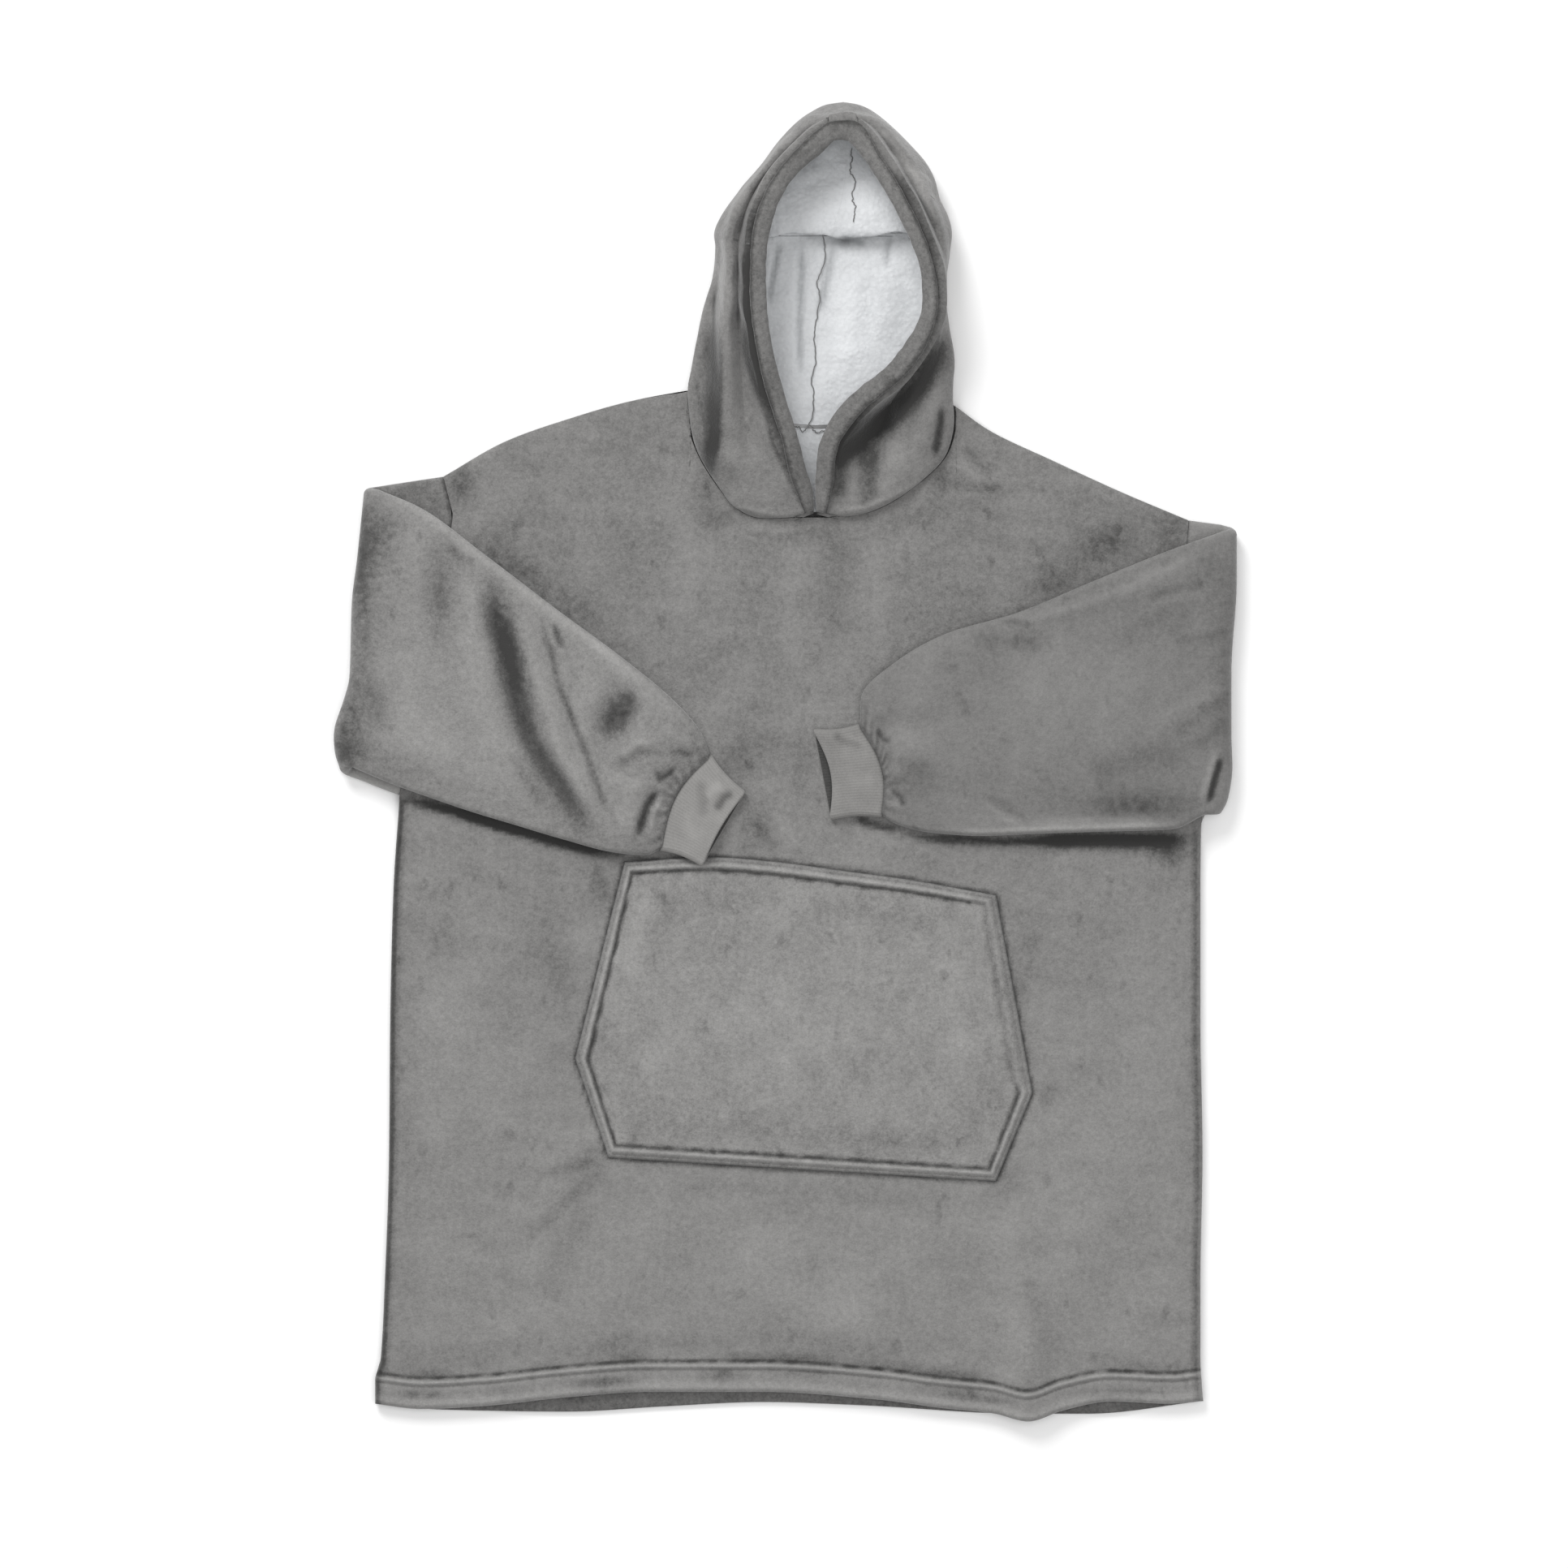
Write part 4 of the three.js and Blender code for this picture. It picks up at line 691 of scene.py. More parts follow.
# %% Hood's plush
HOLLOW = {"right": np.array([-45, 430, 25]), "left": np.array([120, 430, 25])}
HOOD_CUT = (0.34, 0.40)
MOST_FOLD = 2.2
for half in ("right", "left"):
    middle, normal = hood_grid[half], hood_normal[half]
    outer = middle + normal * CLOTH / 2
    height, nap_and_shade = brushed_and_shaded(outer[..., 0], outer[..., 1], HOOD_FOLDS, HOOD_PATCHES)
    facing_up = smoothstep(normal[..., 2], -0.1, 0.35)
    height = height + 0.8 * swell(outer[..., 0], outer[..., 1] + outer[..., 2], 45, 5)
    outer = outer + normal * np.clip(height * facing_up, -MOST_FOLD, MOST_FOLD)[..., None]
    outer[:, -1, 0] = middle[:, -1, 0] + OUTWARD[half] * TOUCHING
    outer = under_hem(half, outer, middle, reach=10.0, drop=0.5)
    nap_and_shade = np.pad(nap_and_shade * facing_up, ((0, 1), (1, 0)), mode="edge")
    # Painted shade on the strip that is led in under the rolled hem.
    nap_and_shade[:, 0] -= 0.9
    outer[..., 2] = np.maximum(outer[..., 2], 0)
    piece = make_piece(f"hood_{half}_plush", outer, HOLLOW[half], nap_and_shade)
    nodes, area = [f"hood_{half}"], grid_area(outer)
    finish_piece(piece, PLUSH_HOOD, nodes, HOOD_CUT, area)

# %% [markdown]
# ## The hood's lining
#
# White sherpa. The crown of the lining has slipped and hangs over the rest in a tuck, which casts
# the one strong shadow inside the hood; that shadow is also painted into the sherpa below it. A tuck
# is a fold that doubles back, so it can't be a bump on the surface: the rows of the grid go
# forward, back and forward again, like a letter S.

# %% Folds of the lining
LINING_FOLDS = [
    ([(963, 292), (953, 343), (946, 380)], 3.0, -2.0, -0.85, 1.2),
    ([(952, 300), (944, 345), (941, 390)], 3, 1.6, 0.25),
    ([(987, 290), (988, 333), (985, 400), (987, 470)], 3.2, -2.2, -0.75),
    ([(976, 300), (977, 400), (978, 480)], 5, 1.5, 0.1),
    ([(1028, 300), (1017, 350), (1010, 390)], 4, -2.2, -0.7),
    ([(1097, 288), (1094, 305), (1091, 335)], 3, -2.2, -0.6),
    ([(1115, 350), (1104, 390), (1090, 435)], 11, -2.0, -0.25),
    ([(1046, 340), (1044, 400), (1042, 460)], 12, 1.8, 0.1),
    ([(1075, 320), (1070, 380), (1060, 440)], 9, -1.5, -0.12),
    ([(1015, 420), (1012, 480), (1008, 520)], 5, 1.0, 0.1),
]
# The first three patches paint the shadow below the tuck's edge, and the next three the shade that the
# rolled hem casts on the crown.
LINING_PATCHES = [
    ((1046, 297), (16, 6), 0, -1.2), ((1000, 292), (10, 3.5), 0, -0.5),
    ((1082, 292), (16, 3.5), 0, -0.35), ((1000, 205), (26, 10), 35, -0.6),
    ((968, 245), (14, 8), 50, -0.3), ((1040, 175), (18, 7), 0, -0.35),
    ((1040, 240), (30, 18), 0, 0.1),
]
print("lining folds", len(LINING_FOLDS))

# %% Lining with its tuck
TUCK = {"row": 8.62, "half": 0.36, "over": 22.0, "height": 7.5}
lining_grid = {}
for half in ("right", "left"):
    middle, normal = hood_grid[half], hood_normal[half]
    inner = middle - normal * CLOTH / 2
    column, row = HOOD_COLUMNS[None, :], HOOD_ROWS[:, None]
    near = smoothstep(column, 4.35, 5.0)
    wave = 0.18 * np.sin(inner[..., 0] / 14.0 + 0.5) + 0.06 * np.sin(inner[..., 0] / 5.3 + 1)
    s = (row - TUCK["row"] - wave) / TUCK["half"]
    inner[..., 1] -= near * TUCK["over"] * s * np.exp(-(s**2))
    risen = 0.5 + 0.5 * np.tanh(1.8 * s)
    inner[..., 2] += near * TUCK["height"] * risen * (1 - smoothstep(row, 9.6, 12.2))
    height, nap_and_shade = brushed_and_shaded(inner[..., 0], inner[..., 1], LINING_FOLDS, LINING_PATCHES)
    facing_up = smoothstep(-normal[..., 2], -0.1, 0.35)
    height = height * (1 - smoothstep(s, -0.9, -0.4)) * facing_up
    height = height + 0.5 * swell(inner[..., 0], inner[..., 1], 26, 9)
    inner = inner - normal * np.clip(height, -1.2, 3.0)[..., None]
    # Painted shadow just below the tuck's edge.
    nap_and_shade = nap_and_shade * facing_up - 0.5 * mark(s, -0.15, 0.5) * near
    inner[:, -1, 0] = middle[:, -1, 0] + OUTWARD[half] * TOUCHING
    at_rim = mark(column, 0, 0.2) + mark(row, LAST_SECTION, 0.25)
    inner[..., 2] -= 3.5 * np.minimum(at_rim, 1)
    inner = under_hem(half, inner, middle, reach=2.0, drop=1.0)
    nap_and_shade = np.pad(nap_and_shade, ((0, 1), (1, 0)), mode="edge")
    piece = make_piece(f"hood_{half}_sherpa", inner, HOLLOW[half], nap_and_shade)
    piece.data.flip_normals()
    nodes, area = [f"hood_lining_{half}"], grid_area(inner)
    finish_piece(piece, SHERPA, nodes, HOOD_CUT, area)
    lining_grid[half] = inner

# %% [markdown]
# ## The rolled hem round the face opening
#
# A strip of plush is folded round the raw edge and sewn down, so it looks like a soft cord, 14 to
# 18 mm wide. It could be a curve with a bevel, but its section is a flattened round that tilts
# towards the opening, and its ends lie side by side at the neck. So it is swept by hand along the
# rim, as a strip that goes almost all the way round its own section.

# %% Path of the rolled hem
RIM = {"reach": 20.1, "thickness": 8.5, "lift": 2.5, "tilt": 0.2, "from": 0.3}
THROAT_FROM, THROAT_TO, THROAT_GAP = 262, 305, 0.6
RIM_WIDTH = {
    "right": through([262, 330, 540, 590], [16, 15.5, 15.5, 18.5]),
    "left": through([262, 330, 380, 440, 560, 592], [17, 18, 17.5, 14, 14, 18.5]),
}
rim_rows = np.linspace(RIM["from"], LAST_SECTION, 130)
rims = {half: hood_middle(half, rim_rows, [0.0])[:, 0] for half in ("right", "left")}
crown = np.array([[*HOOD_SEAM[-1, 3:5], HOOD_SEAM[-1, 0]]])
path = np.concatenate([rims["right"], crown, rims["left"][::-1]])
soft = path.copy()
for _ in range(6):
    soft[1:-1] = 0.25 * soft[:-2] + 0.5 * soft[1:-1] + 0.25 * soft[2:]
tangent = unit(np.gradient(soft, axis=0) * [1, 1, 0])
inward = np.stack([tangent[:, 1], -tangent[:, 0], np.zeros(len(path))], 1)
run = np.concatenate([[0], np.cumsum(np.linalg.norm(np.diff(path, axis=0), axis=1))])
print("the rim is", round(run[-1]), "mm long")

# %% Section of the rolled hem
up_from_throat = smoothstep(path[:, 1], THROAT_FROM, THROAT_TO)[:, None]
past_crown = len(rims["right"]) + 1
rim_width = np.concatenate([
    RIM_WIDTH["right"](path[:past_crown, 1]),
    RIM_WIDTH["left"](path[past_crown:, 1]),
])[:, None]
stand_off = lerp(THROAT_GAP, RIM["reach"] - rim_width, up_from_throat)
apart = np.hypot(*(path - path[::-1])[:, :2].T)[:, None] / 2 - stand_off - SEAM
rim_width = np.where(up_from_throat < 1, np.minimum(rim_width, apart), rim_width)
SECTION_FROM, SECTION_TURN = 205, 352
around = np.radians(np.linspace(SECTION_FROM, SECTION_FROM - SECTION_TURN, 30))
plump = 1 + 0.05 * swell(run, 0 * run, 70, 3) + 0.03 * swell(run, 0 * run, 22, 4)


def squarish(v):
    return np.sign(v) * np.abs(v) ** 0.8


w = -squarish(np.cos(around))[None, :] * rim_width / 2 * plump[:, None]
h = squarish(np.sin(around))[None, :] * RIM["thickness"] / 2 * plump[:, None]
print("the hem is", w.max(1).min().round(1) * 2, "to", w.max(1).max().round(1) * 2, "mm wide")

# %% Rolled hem
centre = soft + inward * (rim_width / 2 + stand_off) + [0, 0, RIM["lift"]]
band = centre[:, None] + inward[:, None] * w[..., None]
band[..., 2] += h - w * RIM["tilt"]
on_top = np.sin(around)[None, :] > 0
groove = mark(w, -0.36 * rim_width, 1.3) * on_top
band[..., 2] -= 0.7 * groove
HEM_PATCHES = [
    ((1040, 160), (14, 6), 0, -0.3), ((985, 200), (16, 6), 45, -0.2),
    ((1125, 260), (6, 22), 25, -0.3), ((1150, 440), (6, 16), 0, 0.2),
    ((928, 330), (5, 30), 0, -0.1), ((948, 480), (5, 22), -10, -0.25),
    ((975, 560), (7, 18), -20, -0.2), ((1010, 600), (5, 18), 0, 0.15),
]
nap_and_shade = brushed_and_shaded(band[..., 0], band[..., 1], [], HEM_PATCHES)[1]
# Painted shade in the stitch groove and along the band's outer side; the upper half is a little darker
# too.
nap_and_shade = nap_and_shade - 0.45 * groove - 0.28 * on_top - 0.5 * (w < -0.4 * rim_width)
piece = make_piece("hood_rolled_hem", band, np.array([45, 420, 40]), nap_and_shade)
strip = float(np.linalg.norm(np.diff(band, axis=1), axis=-1).sum(1).mean() / 1000)
length = float(run[-1] / 1000)
finish_piece(piece, PLUSH_HOOD, ["hood_hem"], (strip, length))
print("rolled hem is cut", round(strip, 3), "by", round(length, 3), "metres")

# %% [markdown]
# ## Outline of the body panels
#
# Front and back share one pattern: a straight hem, long sides, shallow armholes, sloping shoulders
# and the neck. A patch stretched between those four edges gives every point inside.

# %% Armhole and neck
def armhole(side, up):
    """The sewn edge between body and sleeve, from the underarm (0) to the shoulder's tip (1)."""
    up = np.asarray(up, float)
    bottom, tip = SIDE_X[side](UNDERARM[side]), SHOULDERS[side][0]
    curve = OUTWARD[side] * ARMHOLE_DEPTH[side] * np.interp(up, ARMHOLE_UP, ARMHOLE_IN)
    return np.stack([lerp(bottom, tip[0], up) - curve, lerp(UNDERARM[side], tip[1], up)], -1)


def neckline(part):
    """A panel's neck edge, a little outside the hood's lowest section, from right to left."""
    columns = np.linspace(0, 4, 40) if part == "front" else np.linspace(4, 7, 40)
    edges = {}
    for half in ("right", "left"):
        grid = hood_middle(half, [0.0, 0.02], HOOD_COLUMNS)
        row = np.stack([np.interp(columns, HOOD_COLUMNS, grid[0, :, i]) for i in range(2)], -1)
        along = np.gradient(row, axis=0)
        out = unit(np.stack([along[:, 1], -along[:, 0]], -1))
        away = np.where(columns[:, None] > SIDE_INDEX, [[0.0, -1.0]], row - HOOD_MIDDLE)
        out *= np.sign((out * away).sum(1, keepdims=True))
        wider = 1 + 2 * smoothstep(columns, SIDE_INDEX - 1.4, SIDE_INDEX)
        edges[half] = row + out * (CLOTH / 2 + NECK_CLEARANCE * wider)[:, None]
    right, left = edges["right"], edges["left"]
    if part == "front":
        return np.concatenate([right[::-1], left])
    return np.concatenate([right[:-1], (right[-1:] + left[-1:]) / 2, left[::-1][1:]])


print("front neck", neckline("front").shape, "back neck", neckline("back").shape)

# %% Body patch
NECK_PULL = 6
START, END = np.zeros(1), np.ones(1)


def body_patch(part):
    neck = neckline(part)
    hem = through(*np.array(HEMS[part]).T)
    right = even(np.array(SHOULDERS["right"] + [tuple(neck[0])], float))
    left = even(np.array([tuple(neck[-1])] + SHOULDERS["left"][::-1], float))
    low = SIDES[0, 0]

    def edge(side, b):
        sewn = armhole(side, (b - ARMHOLE_FROM) / (1 - ARMHOLE_FROM))
        y = lerp(hem(SIDE_X[side](low)), UNDERARM[side], b / ARMHOLE_FROM)
        return np.where((b > ARMHOLE_FROM)[..., None], sewn, np.stack([SIDE_X[side](y), y], -1))

    def top(a):
        share = np.linspace(NECK_FROM, NECK_TO, len(neck))
        round_neck = np.stack([np.interp(a, share, neck[:, i]) for i in range(2)], -1)
        on_right, on_left = right(a / NECK_FROM), left((a - NECK_TO) / (1 - NECK_TO))
        ends = np.where((a <= NECK_FROM)[..., None], on_right, on_left)
        return np.where(((a > NECK_FROM) & (a < NECK_TO))[..., None], round_neck, ends)

    def bottom(a):
        x = lerp(SIDE_X["right"](low), SIDE_X["left"](low), a)
        return np.stack([x, hem(x)], -1)

    def at(a, b):
        a, b = np.broadcast_arrays(np.asarray(a, float), np.asarray(b, float))
        u, v = a[..., None], b[..., None]
        p = lerp(edge("right", b), edge("left", b), u)
        p = p + (1 - v) * (bottom(a) - lerp(bottom(START), bottom(END), u))
        return p + v**NECK_PULL * (top(a) - lerp(top(START), top(END), u))

    def width(b):
        b = np.atleast_1d(np.asarray(b, float))
        return edge("left", b)[..., 0] - edge("right", b)[..., 0]

    def height(a):
        a = np.atleast_1d(np.asarray(a, float))
        return lerp(top(START)[0, 1], top(END)[0, 1], a) - bottom(a)[..., 1]

    return at, width, height


front_width, front_height = body_patch("front")[1:]
print("front is", front_width(0.4)[0].round(), "by", front_height(0.28)[0].round(), "mm")

# %% [markdown]
# ## Front and back
#
# Each panel is one layer of cloth whose edges roll down to the seam, and whose hem turns under and
# is held by two rows of stitches. Rows of the grid are close together at the hem, where the
# stitches need them, and about 4 mm apart elsewhere, which is enough for soft folds.

# %% Folds of the front
FRONT_FOLDS = [
    ([(1232, 1475), (1250, 1600), (1268, 1712)], 16, 2.2, 0.2, 1.2),
    ([(1262, 1560), (1288, 1640), (1295, 1712)], 12, -0.8, -0.15),
    ([(752, 1434), (700, 1480), (640, 1540)], 8, -1.2, -0.4),
    ([(738, 1428), (690, 1442), (650, 1452)], 5, -0.8, -0.3),
    ([(1170, 568), (1210, 590), (1262, 596)], 4, 1.4, 0.25),
    ([(1168, 590), (1200, 603), (1240, 600)], 3.5, -1.2, -0.45),
    ([(1185, 548), (1205, 572), (1225, 592)], 4, -1.0, -0.4),
    ([(1152, 610), (1190, 612), (1222, 604)], 4, 1.0, 0.2),
    ([(905, 648), (950, 656), (990, 655)], 2.5, 0.8, 0.15),
    ([(915, 656), (955, 664), (985, 663)], 2, -0.8, -0.25),
    ([(985, 650), (982, 740), (978, 850)], 14, 1.0, 0.16),
    ([(1075, 650), (1082, 740), (1085, 830)], 12, 1.0, 0.14),
    ([(1030, 645), (1032, 720), (1030, 800)], 14, -0.8, -0.14),
    ([(720, 1460), (676, 1530), (640, 1590)], 20, 1.8, 0.12),
    ([(735, 1455), (700, 1530), (668, 1610)], 12, -1.2, -0.2),
    ([(1260, 1370), (1330, 1400), (1400, 1450)], 16, 1.2, 0.12),
    ([(880, 1560), (1000, 1610), (1100, 1630)], 20, 1.5, 0.12),
    ([(560, 1180), (545, 1300), (550, 1460)], 26, 1.5, 0.1),
    ([(1390, 1150), (1400, 1290), (1380, 1430)], 26, 1.5, 0.1),
    ([(950, 1000), (975, 1030), (980, 1052)], 6, 1.2, 0.2),
    ([(935, 1010), (950, 1040), (955, 1060)], 5, -1.0, -0.3),
    # These rows paint the shadows that the sleeves cast on the front below their low edges.
    ([(485, 980), (515, 988), (569, 1001), (633, 1020), (672, 1033), (722, 1045),
     (780, 1056)], 4.5, -0.5, -2.2),
    ([(560, 999), (600, 1010), (650, 1026)], 5.5, -0.3, -1.0),
    ([(1100, 1026), (1144, 1032), (1238, 1037), (1320, 1034), (1400, 1034),
     (1470, 1033)], 4, -0.5, -1.5),
    ([(1270, 1038), (1340, 1037), (1400, 1037), (1470, 1034)], 7, -0.3, -1.6),
    ([(1050, 1002), (1070, 1015), (1110, 1024)], 4, -0.3, -1.4),
]
FRONT_PATCHES = [
    ((570, 597), (12, 14), 0, -0.7), ((610, 682), (26, 18), -40, -0.5),
    ((655, 715), (26, 14), -40, -0.45), ((713, 750), (32, 14), -38, -0.4),
    ((770, 800), (30, 12), -38, -0.25), ((850, 690), (40, 60), 0, 0.12),
    ((1363, 672), (34, 18), 22, -0.55), ((1440, 655), (20, 14), 20, -0.4),
    ((1297, 722), (24, 12), 20, -0.3), ((1180, 760), (34, 12), 22, -0.15),
    ((1500, 655), (20, 10), 0, 0.3), ((880, 640), (14, 14), 0, -0.4),
    ((1000, 660), (26, 8), 0, -0.25), ((1120, 640), (30, 10), 20, -0.25),
    ((1160, 590), (8, 16), 0, -0.5), ((870, 600), (9, 24), 0, -0.4),
    ((700, 600), (60, 30), -20, 0.05), ((1040, 850), (30, 80), 0, 0.08),
    ((905, 930), (16, 26), -40, -0.35), ((930, 1010), (14, 18), 0, -0.25),
    ((985, 960), (8, 26), 0, -0.3), ((740, 1090), (10, 20), 15, -0.5),
    ((690, 1200), (16, 60), 15, -0.3), ((720, 1430), (26, 12), 30, -0.4),
    ((1262, 1200), (10, 60), -12, -0.35), ((1290, 1350), (8, 12), 0, -0.3),
    ((1240, 1450), (14, 14), 0, -0.35), ((900, 1462), (100, 8), 0, -0.2),
    ((1100, 1478), (80, 8), 0, -0.2), ((1180, 1110), (60, 8), -8, -0.25),
    ((560, 1670), (70, 16), 0, -0.2), ((800, 1655), (120, 12), 3, -0.25),
    ((1040, 1660), (90, 12), -4, -0.25), ((1400, 1675), (50, 12), 0, -0.2),
    ((500, 1400), (14, 160), 0, -0.2), ((1465, 1380), (14, 160), 0, -0.15),
    ((1275, 1700), (16, 20), 0, -0.3), ((1310, 1520), (26, 60), 0, 0.1),
    ((600, 1500), (60, 60), 0, -0.08), ((1000, 1540), (90, 40), 0, 0.08),
    ((560, 1250), (40, 70), 0, 0.08), ((640, 1180), (26, 40), 10, -0.08),
    ((1440, 1048), (16, 10), 0, -0.9), ((742, 1702), (24, 5), 4, -0.9),
    ((887, 1692), (20, 5), 0, -0.7), ((1189, 1717), (40, 5), -8, -0.7),
    ((519, 1717), (22, 5), 0, -0.7), ((1377, 1714), (40, 5), 0, -0.5),
    ((1000, 1690), (30, 4), 0, -0.4), ((620, 1712), (24, 4), 4, -0.3),
]
print("front folds", len(FRONT_FOLDS), "and patches", len(FRONT_PATCHES))


# %% Relief of the front
HEM_DEPTH = 25
STITCH_GAP = 4
RIPPLE = {"x": 227, "y": -602, "wide": 30, "long": 150, "high": 8}


def hem_relief(distance, depth, bulk):
    """A turned hem: thick up to its depth, where a ridge runs between two rows of stitches."""
    ridge = 1.2 * mark(distance, depth, 2.0)
    rows = (depth - STITCH_GAP, depth + STITCH_GAP)
    grooves = sum(1.5 * mark(distance, at, 1.5) for at in rows)
    return bulk * (1 - smoothstep(distance, depth, depth + 5)) + ridge - grooves


def front_surface(x, y, away, soft):
    """Millimetres of relief, and brushing of the pile with painted shade and highlights, along one row
    of the front.
    """
    creased, nap_and_shade = brushed_and_shaded(x, y, FRONT_FOLDS, FRONT_PATCHES)
    ripple = RIPPLE["high"] * mark(x, RIPPLE["x"], RIPPLE["wide"])
    ripple = ripple * (1 - smoothstep(y - RIPPLE["y"], 0, RIPPLE["long"]))
    uneven = 0.5 * swell(x, y, 90, 21) + 0.25 * swell(x, y, 34, 22)
    clear = smoothstep(away, 6, 40)
    hem = hem_relief(away, HEM_DEPTH, 1.2) * (1 - soft**2)
    nap_and_shade = nap_and_shade + lerp(0.26, -0.1, smoothstep(y, -450, 200))
    rough = 1 + 0.4 * swell(x, y, 22, 24)
    # Painted shade along the hem's stitch rows and in patches above them, and painted highlights on the
    # hem's ridge and near its turned edge.
    nap_and_shade = nap_and_shade - 0.95 * (mark(away, 29, 1.8) * rough + 0.35 * mark(away, 21, 1.3))
    nap_and_shade = nap_and_shade - 0.6 * mark(away, 33, 5) * np.clip(swell(x, 0 * x, 120, 25), 0, 1)
    nap_and_shade = nap_and_shade + 0.5 * mark(away, HEM_DEPTH, 1.9) + 0.45 * mark(away, 6, 4)
    # Painted shadow round the pocket, where it lies on the front.
    nap_and_shade = nap_and_shade - 1.3 * fold(x, y, POCKET_OUTLINE, 2.8, fading=False)
    nap_and_shade = nap_and_shade + 0.05 * swell(x / 3, y, 30, 23)
    return hem + ripple + (creased + uneven) * clear, nap_and_shade


# %% Body panel
ROLL = np.radians([0, 12, 24, 36, 48, 60, 74, 90])
SEWN_UP_TO = (ARMHOLE_FROM - 0.014, ARMHOLE_FROM + 0.002)
SHOULDER_SEWN = (0.5 - NECK_FROM, 0.512 - NECK_FROM)


def body_sheet(part, turned, hem, flat_rows, columns):
    """A panel's cloth. Each row is (distance from the hem, share of the height, turn, drop)."""
    at, width, height_of = body_patch(part)
    ends, flat = np.ones(len(ROLL)), np.linspace(0.014, 0.986, columns)
    edge = np.concatenate([-ends, 0 * flat, ends])
    angle = np.concatenate([ROLL, 0 * flat, ROLL[::-1]])
    flat_a = np.concatenate([0 * ends, flat, ends])
    rows = [(d, None, None, drop) for d, drop in turned] + [(d, None, None, 0) for d in hem]
    rows += [(None, b, None, 0) for b in flat_rows]
    rows += [(None, None, turn, 0) for turn in ROLL[::-1]]
    points, naps = [], []
    for distance, b, turn, drop in rows:
        b0 = np.array([1.0 if turn is not None else (b or 0.0)])
        sewn = 1 - smoothstep(b0, *SEWN_UP_TO)
        inset = lerp(0 * angle, EDGE_RADIUS - EDGE_RADIUS * np.cos(angle), sewn)
        lift = np.where(edge != 0, lerp(1, np.sin(angle), sewn), 1)
        rolled = np.where(edge < 0, inset, width(b0) - inset) / width(b0)
        a = np.where(edge == 0, flat_a, rolled)
        size = height_of(a)
        if turn is not None:
            shoulder = smoothstep(np.abs(a - 0.5), *SHOULDER_SEWN)
            b = 1 - 1.1 * shoulder * EDGE_RADIUS * (1 - np.cos(turn)) / size
            lift = lift * lerp(1, np.sin(turn), shoulder)
        if distance is not None:
            b = distance / size
        p = at(a, b * np.ones_like(a))
        away = b * size
        soft = 1 - smoothstep(away, 0, 4)
        rise = SEAM / 2 + EDGE_RADIUS * lift - 0.3 * CLOTH * lift * soft**2
        # Painted shade where the hem turns down to the floor.
        nap_and_shade = -0.25 * soft
        if part == "front":
            relief, brush = front_surface(p[:, 0], p[:, 1], away, soft)
            rise = rise + lift * relief
            # Painted shade along the rolled side edges, and darker where an edge rolls down.
            from_right, from_left = a * width(b0), (1 - a) * width(b0)
            beside = 1.3 * mark(from_right, 2.5, 3.4) + 0.7 * mark(from_left, 5, 2.2)
            nap_and_shade = nap_and_shade + brush - sewn * beside - 0.3 * (1 - lift)
        rise = np.maximum(rise - drop * lift, 0.3)
        z = SEAM_HEIGHT + (rise if part == "front" else -rise)
        points.append(np.column_stack([p, np.maximum(z, 0)]))
        naps.append(nap_and_shade)
    return np.array(points), np.array(naps)


# %% Front
PANEL_CUT = (0.78, 0.98)
TURNED = [
    (25, 4.4), (18, 4.5), (10, 4.5), (4, 4.2), (1.6, 3.6), (0.5, 2.7), (0.0, 1.7), (0.1, 0.9),
]
HEM_ROWS = [
    0.5, 1.6, 3, 5, 8, 11, 14, 16.5, 18.5, 19.7, 20.8, 21.9, 23, 24, 25, 26, 27, 28, 29, 30.2,
    31.5, 33, 36, 40,
]
points, nap_and_shade = body_sheet("front", TURNED, HEM_ROWS, np.linspace(0.053, 0.988, 205), 190)
front, area = make_piece("front_panel", points, BELOW, nap_and_shade), grid_area(points)
finish_piece(front, PLUSH, ["front"], PANEL_CUT, area)

# %% Back
TURNED = [(25, 4.4), (8, 4.4), (1.6, 3.6), (0.2, 2.2)]
HEM_ROWS = [0.6, 2, 4, 8, 14, 20, 26]
points, nap_and_shade = body_sheet("back", TURNED, HEM_ROWS, np.linspace(0.035, 0.988, 80), 90)
# The back is painted darker all over: painted shade, since it lies under the front.
back, area = make_piece("back_panel", points, ABOVE, nap_and_shade - 0.35), grid_area(points)
finish_piece(back, PLUSH, ["back"], PANEL_CUT, area)

# %% [markdown]
# ## Sherpa inside the neck
#
# Between the two bands at the throat a small piece of the back panel's sherpa side shows. It is
# one flat sheet in the gap between front and back.

# %% Neck lining
NECK_CENTRE = np.array([27.0, 285.0])


def drawn_in(points):
    """A neck edge, drawn in so that the sheet stays clear of it."""
    return np.column_stack([lerp(NECK_CENTRE, points, 0.94), np.zeros(len(points))])


front_edge, back_edge = even(drawn_in(neckline("front"))), even(drawn_in(neckline("back")))
share = np.linspace(0.06, 0.94, 70)
depth = np.linspace(0.03, 1.05, 48)[:, None, None]
points = lerp(front_edge(share)[None], back_edge(share)[None], depth)
pile = 0.25 * swell(points[..., 0], points[..., 1], 14, 31)
points[..., 2] = lerp(6.4, 4.5, smoothstep(depth[..., 0], 0.85, 1.05)) + pile
squiggle = [(975, 527), (990, 521), (1005, 533), (1016, 530)]
height, nap_and_shade = brushed_and_shaded(points[..., 0], points[..., 1], [(squiggle, 3.0, 0.6, -0.15)])
points[..., 2] += height
piece, nodes = make_piece("neck_sherpa", points, BELOW, nap_and_shade), ["back_neck_lining"]
area = grid_area(points)
finish_piece(piece, SHERPA, nodes, (0.25, 0.13), area)

